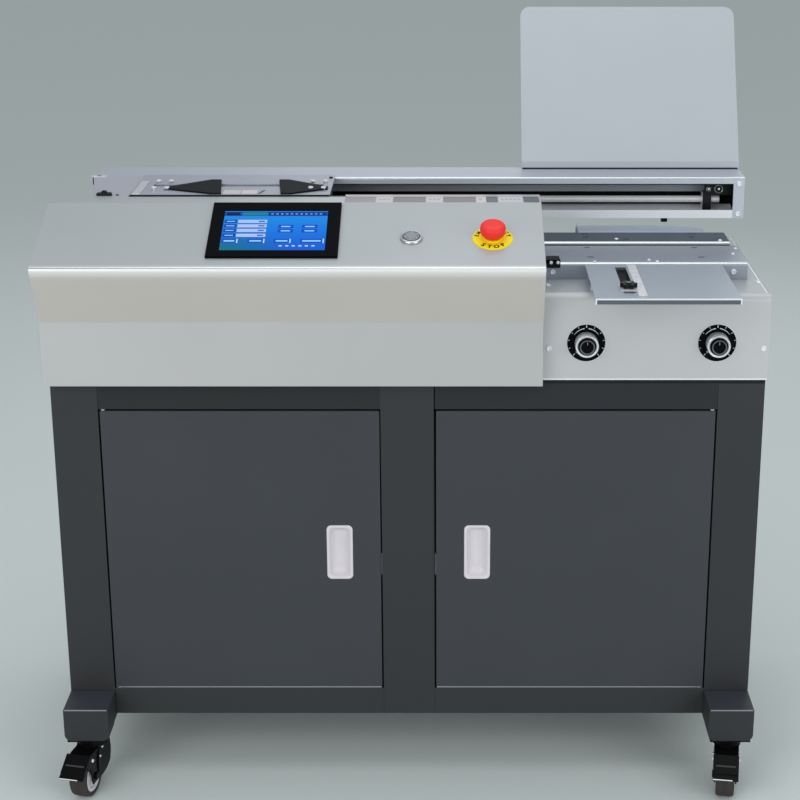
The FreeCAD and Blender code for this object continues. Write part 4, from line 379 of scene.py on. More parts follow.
def finished(name, mesh, finishes, node, edge=0.0, segments=2, replaced=(), smooth=35, bend=0.0):
    """Gives a mesh its finishes, rounded edges and the node's body.

    bend rounds the edges that are marked as folds further, in bend_shine: a painted highlight."""
    body = frame["nodes"][node]["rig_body"]
    chosen = [face.material_index for face in mesh.polygons]
    mesh.materials.clear()
    for finish in finishes:
        mesh.materials.append(FINISHES[finish])
    mesh.polygons.foreach_set("material_index", chosen)
    piece = bpy.data.objects.new(name, mesh)
    bpy.context.scene.collection.objects.link(piece)
    mesh.shade_smooth()
    mesh.set_sharp_from_angle(angle=math.radians(smooth))
    if bend:
        bent = piece.modifiers.new("Bends", "BEVEL")
        bent.width = bend * MM
        bent.segments = 6
        bent.limit_method = "WEIGHT"
        bent.use_clamp_overlap = False
        bent.harden_normals = True
        bent.material = finishes.index("bend_shine")
    if edge:
        rounded = piece.modifiers.new("Rounded edges", "BEVEL")
        rounded.width = edge * MM
        rounded.segments = segments
        rounded.limit_method = "ANGLE"
        rounded.angle_limit = math.radians(smooth)
        rounded.harden_normals = True
    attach(piece, body)
    if replaced:
        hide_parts(*replaced)
    return piece


def own_shape(node):
    """A solid's own shape, with its corners welded and its flat faces made whole."""
    bm = bmesh.new()
    bm.from_mesh(frame["nodes"][node].data)
    bmesh.ops.remove_doubles(bm, verts=bm.verts, dist=WELD)
    bmesh.ops.dissolve_limit(bm, angle_limit=FLAT_ANGLE, verts=bm.verts, edges=bm.edges)
    return bm


def dressed(node, finish, edge=0.6, segments=2, rules=(), bend=0.0, bends=None):
    """A solid's own shape with rounded edges.

    A rule is (finish, test): the first test that holds for a face's middle and normal picks the
    finish. Folds are the edges for whose ends bends(end) gives a share of bend; they get
    bend_shine, a lighter and glossier copy of the sheet: a painted highlight."""
    bm = own_shape(node)
    finishes = list(dict.fromkeys([finish, *(name for name, test in rules)]))
    if bends:
        finishes.append("bend_shine")
    for face in bm.faces:
        middle = face.calc_center_median() / MM - SHIFT
        chosen = next((name for name, test in rules if test(middle, face.normal)), finish)
        face.material_index = finishes.index(chosen)
    if bends:
        weight = bm.edges.layers.float.new("bevel_weight_edge")
        for fold in bm.edges:
            first, second = (vert.co / MM - SHIFT for vert in fold.verts)
            fold[weight] = min(bends(first), bends(second))
    mesh = bpy.data.meshes.new(f"{node}_skin")
    bm.to_mesh(mesh)
    bm.free()
    return finished(f"{node}_skin", mesh, finishes, node, edge, segments, (node,), bend=bend)


# ---------------------------------------------------------------- repeating pieces

def spread_tree():
    """Places a small part on every point of a guide, turned to the point's own direction."""
    tree = bpy.data.node_groups.new("Spread of small parts", "GeometryNodeTree")
    face = tree.interface
    face.new_socket("Guide", in_out="INPUT", socket_type="NodeSocketGeometry")
    face.new_socket("Part", in_out="INPUT", socket_type="NodeSocketObject")
    face.new_socket("Parts", in_out="OUTPUT", socket_type="NodeSocketGeometry")
    enter = added(tree, "NodeGroupInput")
    part = added(tree, "GeometryNodeObjectInfo", {"Object": enter.outputs["Part"]})
    direction = added(tree, "GeometryNodeInputNamedAttribute", {"Name": "turn"},
                      data_type="FLOAT_VECTOR")
    instance = added(tree, "GeometryNodeInstanceOnPoints", {
        "Points": enter.outputs["Guide"], "Instance": part.outputs["Geometry"],
        "Rotation": direction.outputs["Attribute"]})
    real = added(tree, "GeometryNodeRealizeInstances", {"Geometry": instance.outputs["Instances"]})
    added(tree, "NodeGroupOutput", {"Parts": real.outputs["Geometry"]})
    return tree


SPREAD = spread_tree()
PART_SOCKET = next(item.identifier for item in SPREAD.interface.items_tree if item.name == "Part")


def spread(name, part, spots, finish, node):
    """Repeats part (a Form about its origin) at spots of (x, y, z, direction of its top, spin)."""
    item_mesh = bpy.data.meshes.new(f"{name} part")
    for vert in part.bm.verts:
        vert.co = vert.co * MM
    part.bm.to_mesh(item_mesh)
    part.bm.free()
    item = bpy.data.objects.new(f"{name} part", item_mesh)
    bpy.context.scene.collection.objects.link(item)
    guide_mesh = bpy.data.meshes.new(f"{name} guide")
    guide_mesh.from_pydata([place(*spot[:3]) for spot in spots], [], [])
    turns = guide_mesh.attributes.new("turn", "FLOAT_VECTOR", "POINT")
    for index, spot in enumerate(spots):
        quaternion = Vector(spot[3]).to_track_quat("Z", "Y")
        spin = Matrix.Rotation(spot[4] if len(spot) > 4 else 0.0, 3, "Z")
        turns.data[index].vector = (quaternion.to_matrix() @ spin).to_euler()
    guide = bpy.data.objects.new(f"{name} guide", guide_mesh)
    bpy.context.scene.collection.objects.link(guide)
    modifier = guide.modifiers.new("Spread", "NODES")
    modifier.node_group = SPREAD
    modifier[PART_SOCKET] = item
    bpy.context.view_layer.update()
    graph = bpy.context.evaluated_depsgraph_get()
    mesh = bpy.data.meshes.new_from_object(guide.evaluated_get(graph))
    for used in (guide, item):
        bpy.data.objects.remove(used)
    return finished(name, mesh, [finish], node)


def screws(name, spots, node, radius, tall, finish):
    """Domed pan heads with a sunken round socket."""
    head = Form()
    head.turned([(0, tall * 0.45), (radius * 0.45, tall * 0.45), (radius * 0.5, tall * 0.96),
                 (radius * 0.72, tall), (radius * 0.92, tall * 0.72), (radius, tall * 0.3),
                 (radius, 0), (0, 0)], Matrix.Identity(4), finish, 18)
    return spread(name, head, spots, finish, node)


def ring_spots(middle, radius, count, axis, start):
    """Points round a circle, each facing along the circle's axis and turned to its centre."""
    axis = Vector(axis).normalized()
    first = Vector((1, 0, 0))
    second = axis.cross(first)
    spots = []
    for step in range(count):
        angle = start + 2 * math.pi * step / count
        point = Vector(middle) + radius * (math.cos(angle) * first + math.sin(angle) * second)
        spots.append((*point, axis, angle))
    return spots


def panel_point(x, up, out):
    """A point of the sloping panel: across, up its slope from the nose, and out of its face."""
    return PANEL_NOSE + Vector((x, up * math.cos(PANEL_SLOPE) - out * math.sin(PANEL_SLOPE),
                                up * math.sin(PANEL_SLOPE) + out * math.cos(PANEL_SLOPE)))


def panel_matrix(x, up, out=0.0):
    return Matrix.Translation(panel_point(x, up, out)) @ Matrix.Rotation(PANEL_SLOPE, 4, "X")


def facing_front(x, y, z):
    """A matrix whose own Z points at the operator."""
    return Matrix.Translation((x, y, z)) @ Matrix.Rotation(math.radians(90), 4, "X")


def round_rectangle(wide, tall, radius, steps=6):
    """Points round a rectangle with rounded corners, about its middle."""
    radius = min(radius, wide / 2 - 0.01, tall / 2 - 0.01)
    points = []
    for across, up, start in ((1, 1, 0), (-1, 1, 90), (-1, -1, 180), (1, -1, 270)):
        for step in range(steps + 1):
            angle = math.radians(start + 90 * step / steps)
            points.append((across * (wide / 2 - radius) + radius * math.cos(angle),
                           up * (tall / 2 - radius) + radius * math.sin(angle)))
    return points


def words(name, text, size, matrix, finish, node, ring=None, bold=0.0):
    """Flat letters; ring is (radius, first angle, step in degrees, feet outward), on a circle."""
    form = Form()
    groups = [(text, None)] if ring is None else [(letter, k) for k, letter in enumerate(text)]
    for letter, k in groups:
        curve = bpy.data.curves.new("Letter", "FONT")
        curve.body = letter
        curve.size = size
        curve.align_x = "CENTER"
        curve.align_y = "CENTER"
        curve.extrude = 0.04
        curve.offset = bold
        curve.resolution_u = 3
        carrier = bpy.data.objects.new("Letter", curve)
        bpy.context.scene.collection.objects.link(carrier)
        bpy.context.view_layer.update()
        graph = bpy.context.evaluated_depsgraph_get()
        mesh = bpy.data.meshes.new_from_object(carrier.evaluated_get(graph))
        bpy.data.objects.remove(carrier)
        bpy.data.curves.remove(curve)
        local = Matrix.Identity(4)
        if ring:
            radius, first, step, feet_out = ring
            angle = math.radians(first + step * k)
            turn = angle + math.pi / 2 if feet_out else angle - math.pi / 2
            local = Matrix.Translation((radius * math.cos(angle), radius * math.sin(angle), 0)) @ \
                Matrix.Rotation(turn, 4, "Z")
        mesh.transform(matrix @ local)
        before = set(form.bm.faces)
        form.bm.from_mesh(mesh)
        form.paint(set(form.bm.faces) - before, finish)
    form.made(name, node)


# ---------------------------------------------------------------- cabinet

RAIL_LOW = 690
SHEET_LIP = 734
GRILLE_FACE = 430.2
INLET_BACK, INLET_FACE = 404, 427.9

# The rail's front is painted darker, as shade under the housing; the feet's tops painted lighter,
# as light falling on them.
dressed("cabinet_frame", "charcoal_coat", 1.2, rules=(
    ("rail_shade_coat", lambda p, n: p.z > RAIL_LOW and n.y < -FACING),
    ("foot_top_lit_coat", lambda p, n: p.z < FOOT_TOP + 1 and n.z > FACING)))
dressed("cabinet_sheets", "charcoal_coat", rules=(("shadow_coat", lambda p, n: p.z > SHEET_LIP),))
dressed("back_panel", "charcoal_coat", 0.3, rules=(
    ("black_gloss", lambda p, n: p.y > GRILLE_FACE or INLET_BACK < p.y < INLET_FACE),))
for side in ("left", "right"):
    dressed(f"door_{side}", "door_coat", 1.2, 3)
dressed("door_fittings", "zinc", 0.3)
dressed("control_box", "case_grey", 0.5)
dressed("scrap_bin", "galvanised", 0.4)


def door_pull(node):
    """A moulded finger cup: a crowned rim and a scoop that deepens to its floor."""
    low, high = node_box(node)
    middle, wide, tall = (low + high) / 2, high.x - low.x, high.z - low.z
    # How far each section lies inside the rim, and its depth.
    sections = [(2.2, high.y), (2.2, 0.0), (0.0, 0.0), (0.3, -1.0), (1.4, -1.5), (3.2, -1.45),
                (4.8, -0.6), (5.6, 1.2), (7.2, 5.2), (9.4, 8.8), (12.4, 11.4), (16.5, 12.6)]
    form = Form()
    rings = [[form.bm.verts.new((middle.x + a, y, middle.z + b)) for a, b in
              round_rectangle(wide - 2 * inset, tall - 2 * inset, 8 - inset * 0.1)]
             for inset, y in sections]
    faces = []
    for lower, upper in zip(rings, rings[1:]):
        for k in range(len(lower)):
            after = (k + 1) % len(lower)
            faces.append(form.bm.faces.new((lower[k], lower[after], upper[after], upper[k])))
    faces += [form.bm.faces.new(ring) for ring in (rings[0], rings[-1])]
    form.paint(faces, "white_gloss")
    bmesh.ops.recalc_face_normals(form.bm, faces=faces)
    form.made(f"{node}_cup", node, replaced=(node,), smooth=50)


door_pull("door_pull_left")
door_pull("door_pull_right")

# ---------------------------------------------------------------- casters

CASTER_X, FRONT_CASTER_Y, REAR_CASTER_Y, TRAIL, WHEEL_RADIUS = 561, -38, 468, 33, 37.5
CASTER_TURNS = {"front_left": -13, "front_right": -9, "rear_left": 0, "rear_right": 0}
FORK_SIDE = 19.7
PEDAL_PIVOT = (0, -50, 76)
PEDAL_SLOPE = math.radians(34)


def caster_matrix(spot):
    x = -CASTER_X if "left" in spot else CASTER_X
    y = FRONT_CASTER_Y if "front" in spot else REAR_CASTER_Y
    turn = Matrix.Rotation(math.radians(CASTER_TURNS[spot]), 4, "Z")
    return Matrix.Translation((x, y, 0)) @ turn


def wheel(spot):
    """Grooved tread on a moulded hub with a raised ring, a recessed web and a bearing cap."""
    matrix = caster_matrix(spot) @ Matrix.Translation((0, -TRAIL, WHEEL_RADIUS)) @ \
        Matrix.Rotation(math.radians(90), 4, "Y")
    half = 15.9
    side = [(4.1, half - 1), (7, half - 0.6), (10.5, half - 1.2), (12, half - 5), (17, half - 6),
            (21, half - 5), (23, half - 1.6), (25.5, half - 0.7), (28, half - 1.2),
            (28.6, half - 1.8), (30, half - 0.2), (34, half), (36.4, half - 1.6), (37.4, half - 5)]
    crown = [(37.45, 6), (37.5, 3.4), (36.8, 2.6), (36.8, 1.4), (37.5, 0.7)]
    profile = side + crown
    finishes = ["hub_white"] * 9 + ["tread_rubber"] * 4
    form = Form()
    form.turned(profile + [(r, -h) for r, h in reversed(profile)], matrix,
                finishes + ["tread_rubber"] * (2 * len(crown) + 1) + finishes[::-1], 56)
    node = f"caster_wheel_{spot}"
    form.made(f"{node}_tyre", node, replaced=(node,))


for spot in CASTER_TURNS:
    wheel(spot)
for side in ("left", "right"):
    dressed(f"caster_fork_front_{side}", "fork_black", 0.5, 3)
    dressed(f"brake_pedal_front_{side}", "fork_black", 0.9, 3)
dressed("caster_mounts", "fork_black", 0.4)


def side_rivets(name, matrix, out, places, node, radius, tall, finish):
    """Rivets on both sides of a fork or pedal, at places of (y, z)."""
    spots = [(*(matrix @ Vector((side * out, y, z))), matrix.to_3x3() @ Vector((side, 0, 0)))
             for side in (-1, 1) for y, z in places]
    screws(name, spots, node, radius, tall, finish)


def fork_cheeks(spot, node):
    """Rounded cheeks outside a fork's legs, bright rivets on each, and a collar under the plate."""
    matrix = caster_matrix(spot)
    cheeks = Form()
    shape = [(-14, 88), (2, 91.5), (16, 91.5), (25, 88), (29, 78), (31, 65), (30, 52), (25, 39),
             (14, 32), (0, 28.5), (-16, 27), (-24, 33), (-24, 60), (-19, 78)]
    for low, high in ((-FORK_SIDE - 2, -FORK_SIDE), (FORK_SIDE, FORK_SIDE + 2)):
        cheeks.outline(shape, low, high, "fork_black", "x", matrix)
    cheeks.turned([(27, 91.5), (28.5, 93), (28.5, 99), (27, 101), (25, 101), (25, 91.5),
                   (27, 91.5)], matrix, "fork_black", 48)
    cheeks.made(f"fork_cheeks_{spot}", node, edge=0.5, segments=3)
    side_rivets(f"fork_rivets_{spot}", matrix, FORK_SIDE + 2, ((-6, 81), (-17, 68)), node, 2.8, 2,
                "bright_zinc")


def pedal_details(spot):
    """Pivot rivets, a pressed step and a lip on a brake pedal; the step's grey and the lip's bright
    steel are painted highlights.
    """
    node = f"brake_pedal_{spot}"
    matrix = caster_matrix(spot) @ Matrix.Translation(PEDAL_PIVOT) @ \
        Matrix.Rotation(PEDAL_SLOPE, 4, "X")
    form = Form()
    # Painted highlights: a grey band on the step and a bright line on the lip.
    form.slab((-17, -21.5, 13.2), (17, -18.5, 13.7), "door_coat", matrix)
    form.slab((-21.5, -46.3, 10.9), (12, -44.8, 12.2), "ground_steel", matrix)
    form.made(f"pedal_trim_{spot}", node, edge=0.2)
    side_rivets(f"pedal_rivets_{spot}", matrix, 22.1, ((0, 0),), node, 3.4, 2.2, "ground_steel")


for spot in CASTER_TURNS:
    fork_cheeks(spot, f"caster_fork_{spot}" if "front" in spot else "caster_mounts")
    if "front" in spot:
        pedal_details(spot)

# ---------------------------------------------------------------- control housing

NOSE_LOW, NOSE_BACK = 940, -70
LOWER_FOLD = 852

# The housing in copies of one silver sheet: the nose fold brighter and glossier as a painted
# highlight, the undercut band and the lower front in lighter coats as painted light.
dressed("control_housing", "silver_front", 0.5, rules=(
    ("bend_shine", lambda p, n: p.z > NOSE_LOW and p.y < NOSE_BACK and -0.88 < n.y < -0.38 and
     n.z > -0.43),
    ("silver_undercut_lit", lambda p, n: p.z > LOWER_FOLD and n.y < -0.8),
    ("silver_base", lambda p, n: n.y < -FACING)))
dressed("screen_case", "bezel_black", 1.6, 4)

GLASS_LEFT, GLASS_WIDE, GLASS_LOW, GLASS_TALL, GLASS_OUT = -302.5, 171, 47, 115, 5
# Heights of the printed layers over the glass, so that none lies in another.
GROUND, BAR, FIELD, MARK = 0.02, 0.04, 0.06, 0.08


def screen_point(across, down, out):
    return panel_point(GLASS_LEFT + across * GLASS_WIDE, GLASS_LOW + (1 - down) * GLASS_TALL,
                       GLASS_OUT + out)


def screen_picture():
    """The lit control page: a blue ground, title bar, four value rows and touch buttons."""
    corners, faces, shades = [], [], []

    def patch(left, top, right, bottom, out, colours):
        first = len(corners)
        for across, down in ((left, bottom), (right, bottom), (right, top), (left, top)):
            corners.append(place(*screen_point(across, down, out)))
        faces.append((first, first + 1, first + 2, first + 3))
        shades.extend(linear(*colour) for colour in colours)

    def flat(left, top, right, bottom, out, colour):
        patch(left, top, right, bottom, out, [colour] * 4)

    def ground(across, down):
        top, bottom = Vector((20, 146, 230)), Vector((12, 92, 214))
        teal = max(0.0, 1 - math.hypot(across * 1.5, (1 - down) * 2.2)) * 0.95
        return tuple(top.lerp(bottom, down).lerp(Vector((14, 116, 122)), teal))

    columns, rows = 16, 10
    for i in range(columns):
        for j in range(rows):
            a, b, c, d = i / columns, j / rows, (i + 1) / columns, (j + 1) / rows
            patch(a, b, c, d, GROUND, [ground(a, d), ground(c, d), ground(c, b), ground(a, b)])
    button, pale = (20, 74, 196), (150, 214, 250)
    flat(0.0, 0.015, 1.0, 0.125, BAR, (16, 66, 176))
    flat(0.02, 0.03, 0.15, 0.11, FIELD, (14, 26, 70))
    flat(0.17, 0.03, 0.42, 0.11, FIELD, (24, 128, 138))
    flat(0.43, 0.03, 0.985, 0.11, FIELD, (14, 40, 120))
    for step in range(11):
        left = 0.45 + step * 0.047
        flat(left, 0.05, left + 0.026, 0.09, MARK, (96, 138, 220))
    for top in (0.225, 0.3425, 0.46, 0.585):
        flat(0.01, top, 0.13, top + 0.08, FIELD, (18, 62, 170))
        flat(0.03, top + 0.03, 0.11, top + 0.05, MARK, pale)
        flat(0.14, top, 0.42, top + 0.08, FIELD, (176, 196, 236))
        flat(0.34, top + 0.025, 0.4, top + 0.055, MARK, (60, 84, 160))
    for left, right in ((0.532, 0.68), (0.76, 0.913)):
        for top, bottom in ((0.355, 0.4425), (0.4675, 0.555)):
            flat(left, top, right, bottom, FIELD, button)
            flat(left + 0.03, top + 0.03, right - 0.03, bottom - 0.03, MARK, pale)
    for left, right in ((0.01, 0.162), (0.255, 0.418), (0.506, 0.668), (0.757, 0.984)):
        flat(left, 0.715, right, 0.82, FIELD, button)
        flat(left + 0.02, 0.75, right - 0.03, 0.785, MARK, pale)
        flat(right - 0.012, 0.715, right, 0.82, MARK, (190, 226, 250))
    for step in range(6):
        left = 0.56 + step * 0.062
        flat(left, 0.88, left + 0.03, 0.905, FIELD, (214, 230, 250))
    mesh = bpy.data.meshes.new("screen_picture")
    mesh.from_pydata(corners, [], faces)
    layer = mesh.color_attributes.new("Shade", "FLOAT_COLOR", "CORNER")
    for corner, shade in zip(layer.data, shades):
        corner.color = shade
    finished("screen_picture", mesh, ["screen_light"], "screen_glass")


dressed("screen_glass", "black_gloss", 0.2)
screen_picture()

START_SPOT, STOP_SPOT = (8, 88), (141, 88)
PRINT_LEVEL = 1.56  # print lies this far over the panel or dial plate, on a disc 1.5 thick


def start_button():
    """A ringed metal push button: a chamfered bezel, a grooved cap and white dots round the groove,
    painted glints.
    """
    matrix = panel_matrix(*START_SPOT)
    bezel = Form()
    bezel.turned([(8.1, -25), (11, -25), (11, 0), (18.5, 0), (18.5, 2.6), (18, 3.6), (16.6, 4.8),
                  (15.2, 5), (14.2, 4.6), (13.6, 3.4), (13.6, 0.6), (8.1, 0.6), (8.1, -25)], matrix,
                 ["black_matt"] * 2 + ["zinc"] * 2 + ["bright_zinc"] * 3 + ["dark_plate"] * 5, 56)
    bezel.made("start_bezel_ring", "start_bezel", replaced=("start_bezel",))
    cap = Form()
    cap.turned([(0, -20.5), (8, -20.5), (8, 4), (13.2, 4), (13.3, 6.2), (12.6, 6.9), (11.6, 7),
                (11.2, 6.4), (9.2, 6.4), (8.8, 7), (7.4, 7), (0, 6.8)], matrix,
               ["black_matt"] * 2 + ["steel_grey"] * 4 + ["dark_plate"] * 2 +
               ["steel_grey"] * 3, 56)
    cap.made("start_cap_face", "start_button", replaced=("start_button",))
    # Painted highlights: white dots round the groove stand for glints of light on the ring.
    lamp = Form()
    lamp.turned([(0.9, 0), (0.8, 0.4), (0.4, 0.7), (0, 0.75)], Matrix.Identity(4),
                "print_white", 12)
    normal = panel_point(0, 0, 1) - panel_point(0, 0, 0)
    spots = ring_spots(panel_point(*START_SPOT, 6.4), 10.2, 6, normal, 0.4)
    spread("start_lamps", lamp, spots, "print_white", "start_button")


def emergency_stop():
    """Mushroom head over a collar, on a printed disc."""
    matrix = panel_matrix(*STOP_SPOT)
    base = Form()
    base.turned([(11.3, 0), (33, 0), (33, 1.1), (32.5, 1.5), (11.3, 1.5), (11.3, 0)], matrix,
                "stop_yellow", 72)
    base.turned([(8.1, -25), (11, -25), (11, 1.5), (15, 1.5), (15, 2.7), (14.3, 3.5), (8.1, 3.5),
                 (8.1, -25)], matrix, ["black_matt"] * 3 + ["stop_yellow"] * 4, 48)
    base.made("estop_plate_and_collar", "estop_base", replaced=("estop_base",))
    head = Form()
    head.turned([(5.05, 18.1), (5.05, 7.8), (16.6, 7.8), (17.4, 8.4), (19.6, 10.9), (20.7, 13.2),
                 (21, 15.4), (21, 20.6), (20.7, 22.8), (19.8, 24.9), (18.2, 26.6), (16.2, 27.5),
                 (14.4, 27.8), (13.6, 27.5), (0, 27.3)], matrix, "stop_red", 72)
    head.made("estop_mushroom", "estop_head", replaced=("estop_head",), smooth=45)
    dressed("estop_plunger", "zinc", 0.3)
    flat = panel_matrix(*STOP_SPOT, PRINT_LEVEL)
    words("estop_word_low", "STOP", 12, flat, "print_black", "estop_base", (26, 232, 25.4, True),
          0.45)
    words("estop_word_high", "EMERGENCY", 9.6, flat, "print_black", "estop_base",
          (26.6, 166, -19, False), 0.4)


start_button()
emergency_stop()

# ---------------------------------------------------------------- dials

DIAL_PLACES = {"left": 298, "right": 516}
DIAL_LEVEL = 807
MARK_RING, ARC_RING, NUMBER_RING = 30.6, 24.4, 21.6


def dial(side, x):
    """A printed disc and a turned knob: bright skirt, black cap with a lighter ring as its painted
    highlight, and pointer line.
    """
    matrix = facing_front(x, 0, DIAL_LEVEL)
    face = Form()
    # The white on the disc's rim and chamfer is a painted highlight along its edge.
    face.turned([(5, 0), (32.5, 0), (32.5, 1.0), (31.9, 1.5), (5, 1.5), (5, 0)], matrix,
                ["dial_black", "print_white", "print_white", "dial_black", "dial_black"], 72)
    face.made(f"dial_face_{side}", "dial_discs", replaced=("dial_discs",) if side == "left" else ())
    level = Matrix.Translation((0, 0, PRINT_LEVEL))
    marks = Form()
    for step in range(11):
        turn = matrix @ level @ Matrix.Rotation(math.radians(225 - 27 * step), 4, "Z")
        long = 4.2 if step % 5 == 0 else 2.6
        marks.slab((MARK_RING - long, -0.45, 0), (MARK_RING, 0.45, 0.05), "print_white", turn)
    for start, end in ((36, 82), (98, 144)):
        inner, outer = [], []
        for step in range(9):
            angle = math.radians(start + (end - start) * step / 8)
            thick = 0.5 + 0.9 * step / 8 if start < 90 else 1.4 - 0.9 * step / 8
            for line, radius in ((inner, ARC_RING), (outer, ARC_RING + thick)):
                line.append((radius * math.cos(angle), radius * math.sin(angle)))
        marks.outline(inner + outer[::-1], 0, 0.05, "print_white", "z", matrix @ level)
    marks.made(f"dial_marks_{side}", "dial_discs")
    for text, angle, further in (("0", 225, 1.05), ("5", 90, 1.3), ("10", -45, 1.05)):
        spot = Matrix.Translation((NUMBER_RING * math.cos(math.radians(angle)) * further,
                                   NUMBER_RING * math.sin(math.radians(angle)) * further,
                                   PRINT_LEVEL))
        words(f"dial_number_{side}_{text}", text, 5, matrix @ spot, "print_white", "dial_discs")
    knob = Form()
    # The slate ring on the cap's top is a painted highlight.
    knob.turned([(0, -18), (3, -18), (3, 1.8), (18.8, 1.8), (19.3, 2.6), (19.5, 22.8), (19.2, 24.1),
                 (18.5, 24.6), (15.4, 24.2), (14.6, 23.6), (14.4, 24), (14.3, 28.4), (13.7, 29.4),
                 (12.5, 29.8), (11.6, 29.7), (10.4, 29), (9.8, 28.6), (0, 28.5)], matrix,
                ["zinc"] * 4 + ["bright_plate"] + ["bright_zinc"] * 2 + ["ground_steel"] +
                ["dial_black"] * 5 + ["slate_shade_and_sheen"] * 2 + ["dial_black"] * 2, 64)
    node = f"dial_knob_{side}"
    knob.made(f"{node}_cap", node, replaced=(node,))
    line = Form()
    line.slab((-0.4, 4, 28.4), (0.4, 8.5, 28.7), "faint_print", matrix)
    line.made(f"{node}_pointer", node)


for side, x in DIAL_PLACES.items():
    dial(side, x)

# ---------------------------------------------------------------- nipping station

STATION_LEFT, STATION_RIGHT = 228, 603
TABLE_FRONT = -133.2

# Painted shade on the station's left side, in slate; painted light on its front faces and soft top
# fold, in a lighter silver; a painted highlight on the bend at its right corner.
dressed("nip_body", "silver_front", rules=(
    ("slate_shade_and_sheen", lambda p, n: p.x < STATION_LEFT and n.x < -FACING),
    ("silver_station_lit", lambda p, n: n.y < -FACING or (p.z > NIP_TOP - 11 and 0.15 < n.z < 0.97))),
        bend=8, bends=lambda p: float(abs(p.x - STATION_RIGHT) < 0.5 and p.z > NIP_TOP - 1))
# The jaws' folds in bend_shine are a painted highlight.
for node, finish in (("nip_jaw_front", "grey_plate"), ("nip_jaw_rear", "jaw_plate")):
    dressed(node, finish, 0.5, rules=(
        ("bend_shine", lambda p, n: -0.97 < n.y < -0.15 and n.z > 0.1),))
dressed("rear_cover_plate", "rear_plate_coat", 0.4)
dressed("nip_table", "milled_steel")
dressed("nip_fittings", "black_enamel", 0.4, rules=(
    ("ground_steel", lambda p, n: p.z > NIP_TOP + 1 and p.y < 383),
    ("zinc", lambda p, n: p.z < NIP_TOP)))
dressed("switch_blocks", "black_matt")
# The table's front flange in slate is painted shadow under its edge.
dressed("cover_table", "brushed_plate", 0.35, rules=(
    ("ground_steel", lambda p, n: p.z > TABLE_TOP + 0.2),
    ("slate_shade_and_sheen", lambda p, n: p.y < TABLE_FRONT and n.y < -FACING)))
dressed("cover_stop", "bright_plate", 0.5)


def star_knob():
    """A six-lobed thumb knob on its stud."""
    low, high = node_box("stop_knob")
    middle = (low + high) / 2
    grip = Form()
    lobes = []
    for step in range(72):
        angle = math.radians(5 * step)
        reach = 11.9 + 2.1 * math.cos(6 * angle + 0.6)
        lobes.append((middle.x + reach * math.cos(angle), middle.y + reach * math.sin(angle)))
    grip.outline(lobes, high.z - 8, high.z - 0.6, "black_gloss")
    at_top = Matrix.Translation((middle.x, middle.y, high.z - 0.7))
    grip.turned([(7.5, 0), (6.8, 1.2), (4.2, 1.4), (3.6, 0.6), (0, 0.6)], at_top,
                ["black_gloss"] * 2 + ["dark_plate"] * 2, 32)
    foot = low.z - high.z + 0.7
    grip.turned([(0, foot), (3, foot), (3, -7.2)], at_top, "zinc", 24)
    grip.made("star_knob", "stop_knob", edge=0.7, segments=3, replaced=("stop_knob",))


def station_trim():
    """The table's front edge as a painted highlight strip, its corner tabs, a black strip under its
    slot as painted shade, and the station's hem as a painted highlight strip.
    """
    trim = Form()
    low, high = node_box("cover_table")
    # Painted highlight: a bright strip along the table's front edge.
    trim.slab((low.x, low.y - 0.25, TABLE_TOP - 2), (high.x, low.y + 2, TABLE_TOP + 0.35),
              "ground_steel")
    for left in (low.x, high.x - 2.6):
        trim.slab((left, low.y - 0.3, TABLE_TOP - 9), (left + 2.6, low.y + 1, TABLE_TOP),
                  "pale_coat")
    # Painted shade: a black strip under the table's slot.
    trim.slab((338, -128, 909), (378, 88, 910), "black_matt")
    trim.made("table_trim", "cover_table", edge=0.2)
    hem = Form()
    # Painted highlight: a bright strip along the station's bottom lip.
    hem.slab((227.5, -0.35, 742.3), (602, 0.3, 744.8), "ground_steel")
    hem.made("station_hem", "nip_body")


star_knob()
station_trim()

# ---------------------------------------------------------------- beam, drive and carriage

def in_channel(point):
    return BEAM_FRONT + 1.5 < point.y < 429 and 946 < point.z < BEAM_TOP - 1


def on_arm_screw(point, normal):
    """The screws rise past the arms, so their sides' middles lie higher than the arms' own."""
    return point.z > ARM_TOP + 0.1 or (point.z > ARM_TOP - 0.9 and abs(normal.z) < 0.5)


GUIDE_Y, GUIDE_Z, GUIDE_RADIUS = 375, 972, 6.4

# In the channel, the faces that look to the front or up are black: painted shade. The lower lip's
# front in a pale coat is painted light, and the bend along the top front edge is a painted
# highlight.
dressed("beam", "silver_coat", 0.5, rules=(
    ("black_matt", lambda p, n: in_channel(p) and (n.y < -FACING or n.z > FACING)),
    ("grey_plate", lambda p, n: in_channel(p)),
    ("beam_top_shade_coat", lambda p, n: n.z > FACING and p.z > BEAM_TOP - 20),
    ("pale_coat", lambda p, n: n.y < -FACING and p.z < 962 and p.y < BEAM_FRONT + 1)),
        bend=4, bends=lambda p: float(abs(p.y - BEAM_FRONT) < 0.5 and abs(p.z - BEAM_TOP) < 0.5))
dressed("beam_guide", "zinc", 0.4, rules=(
    ("ground_steel", lambda p, n: math.hypot(p.y - GUIDE_Y, p.z - GUIDE_Z) < GUIDE_RADIUS),
    ("black_enamel", lambda p, n: p.x > 530 and p.y < 390)))
dressed("drive_belt", "belt_grey", 0.2)
dressed("drive_pulley", "milled_steel", 0.3)
dressed("idler_pulley", "milled_steel", 0.3)
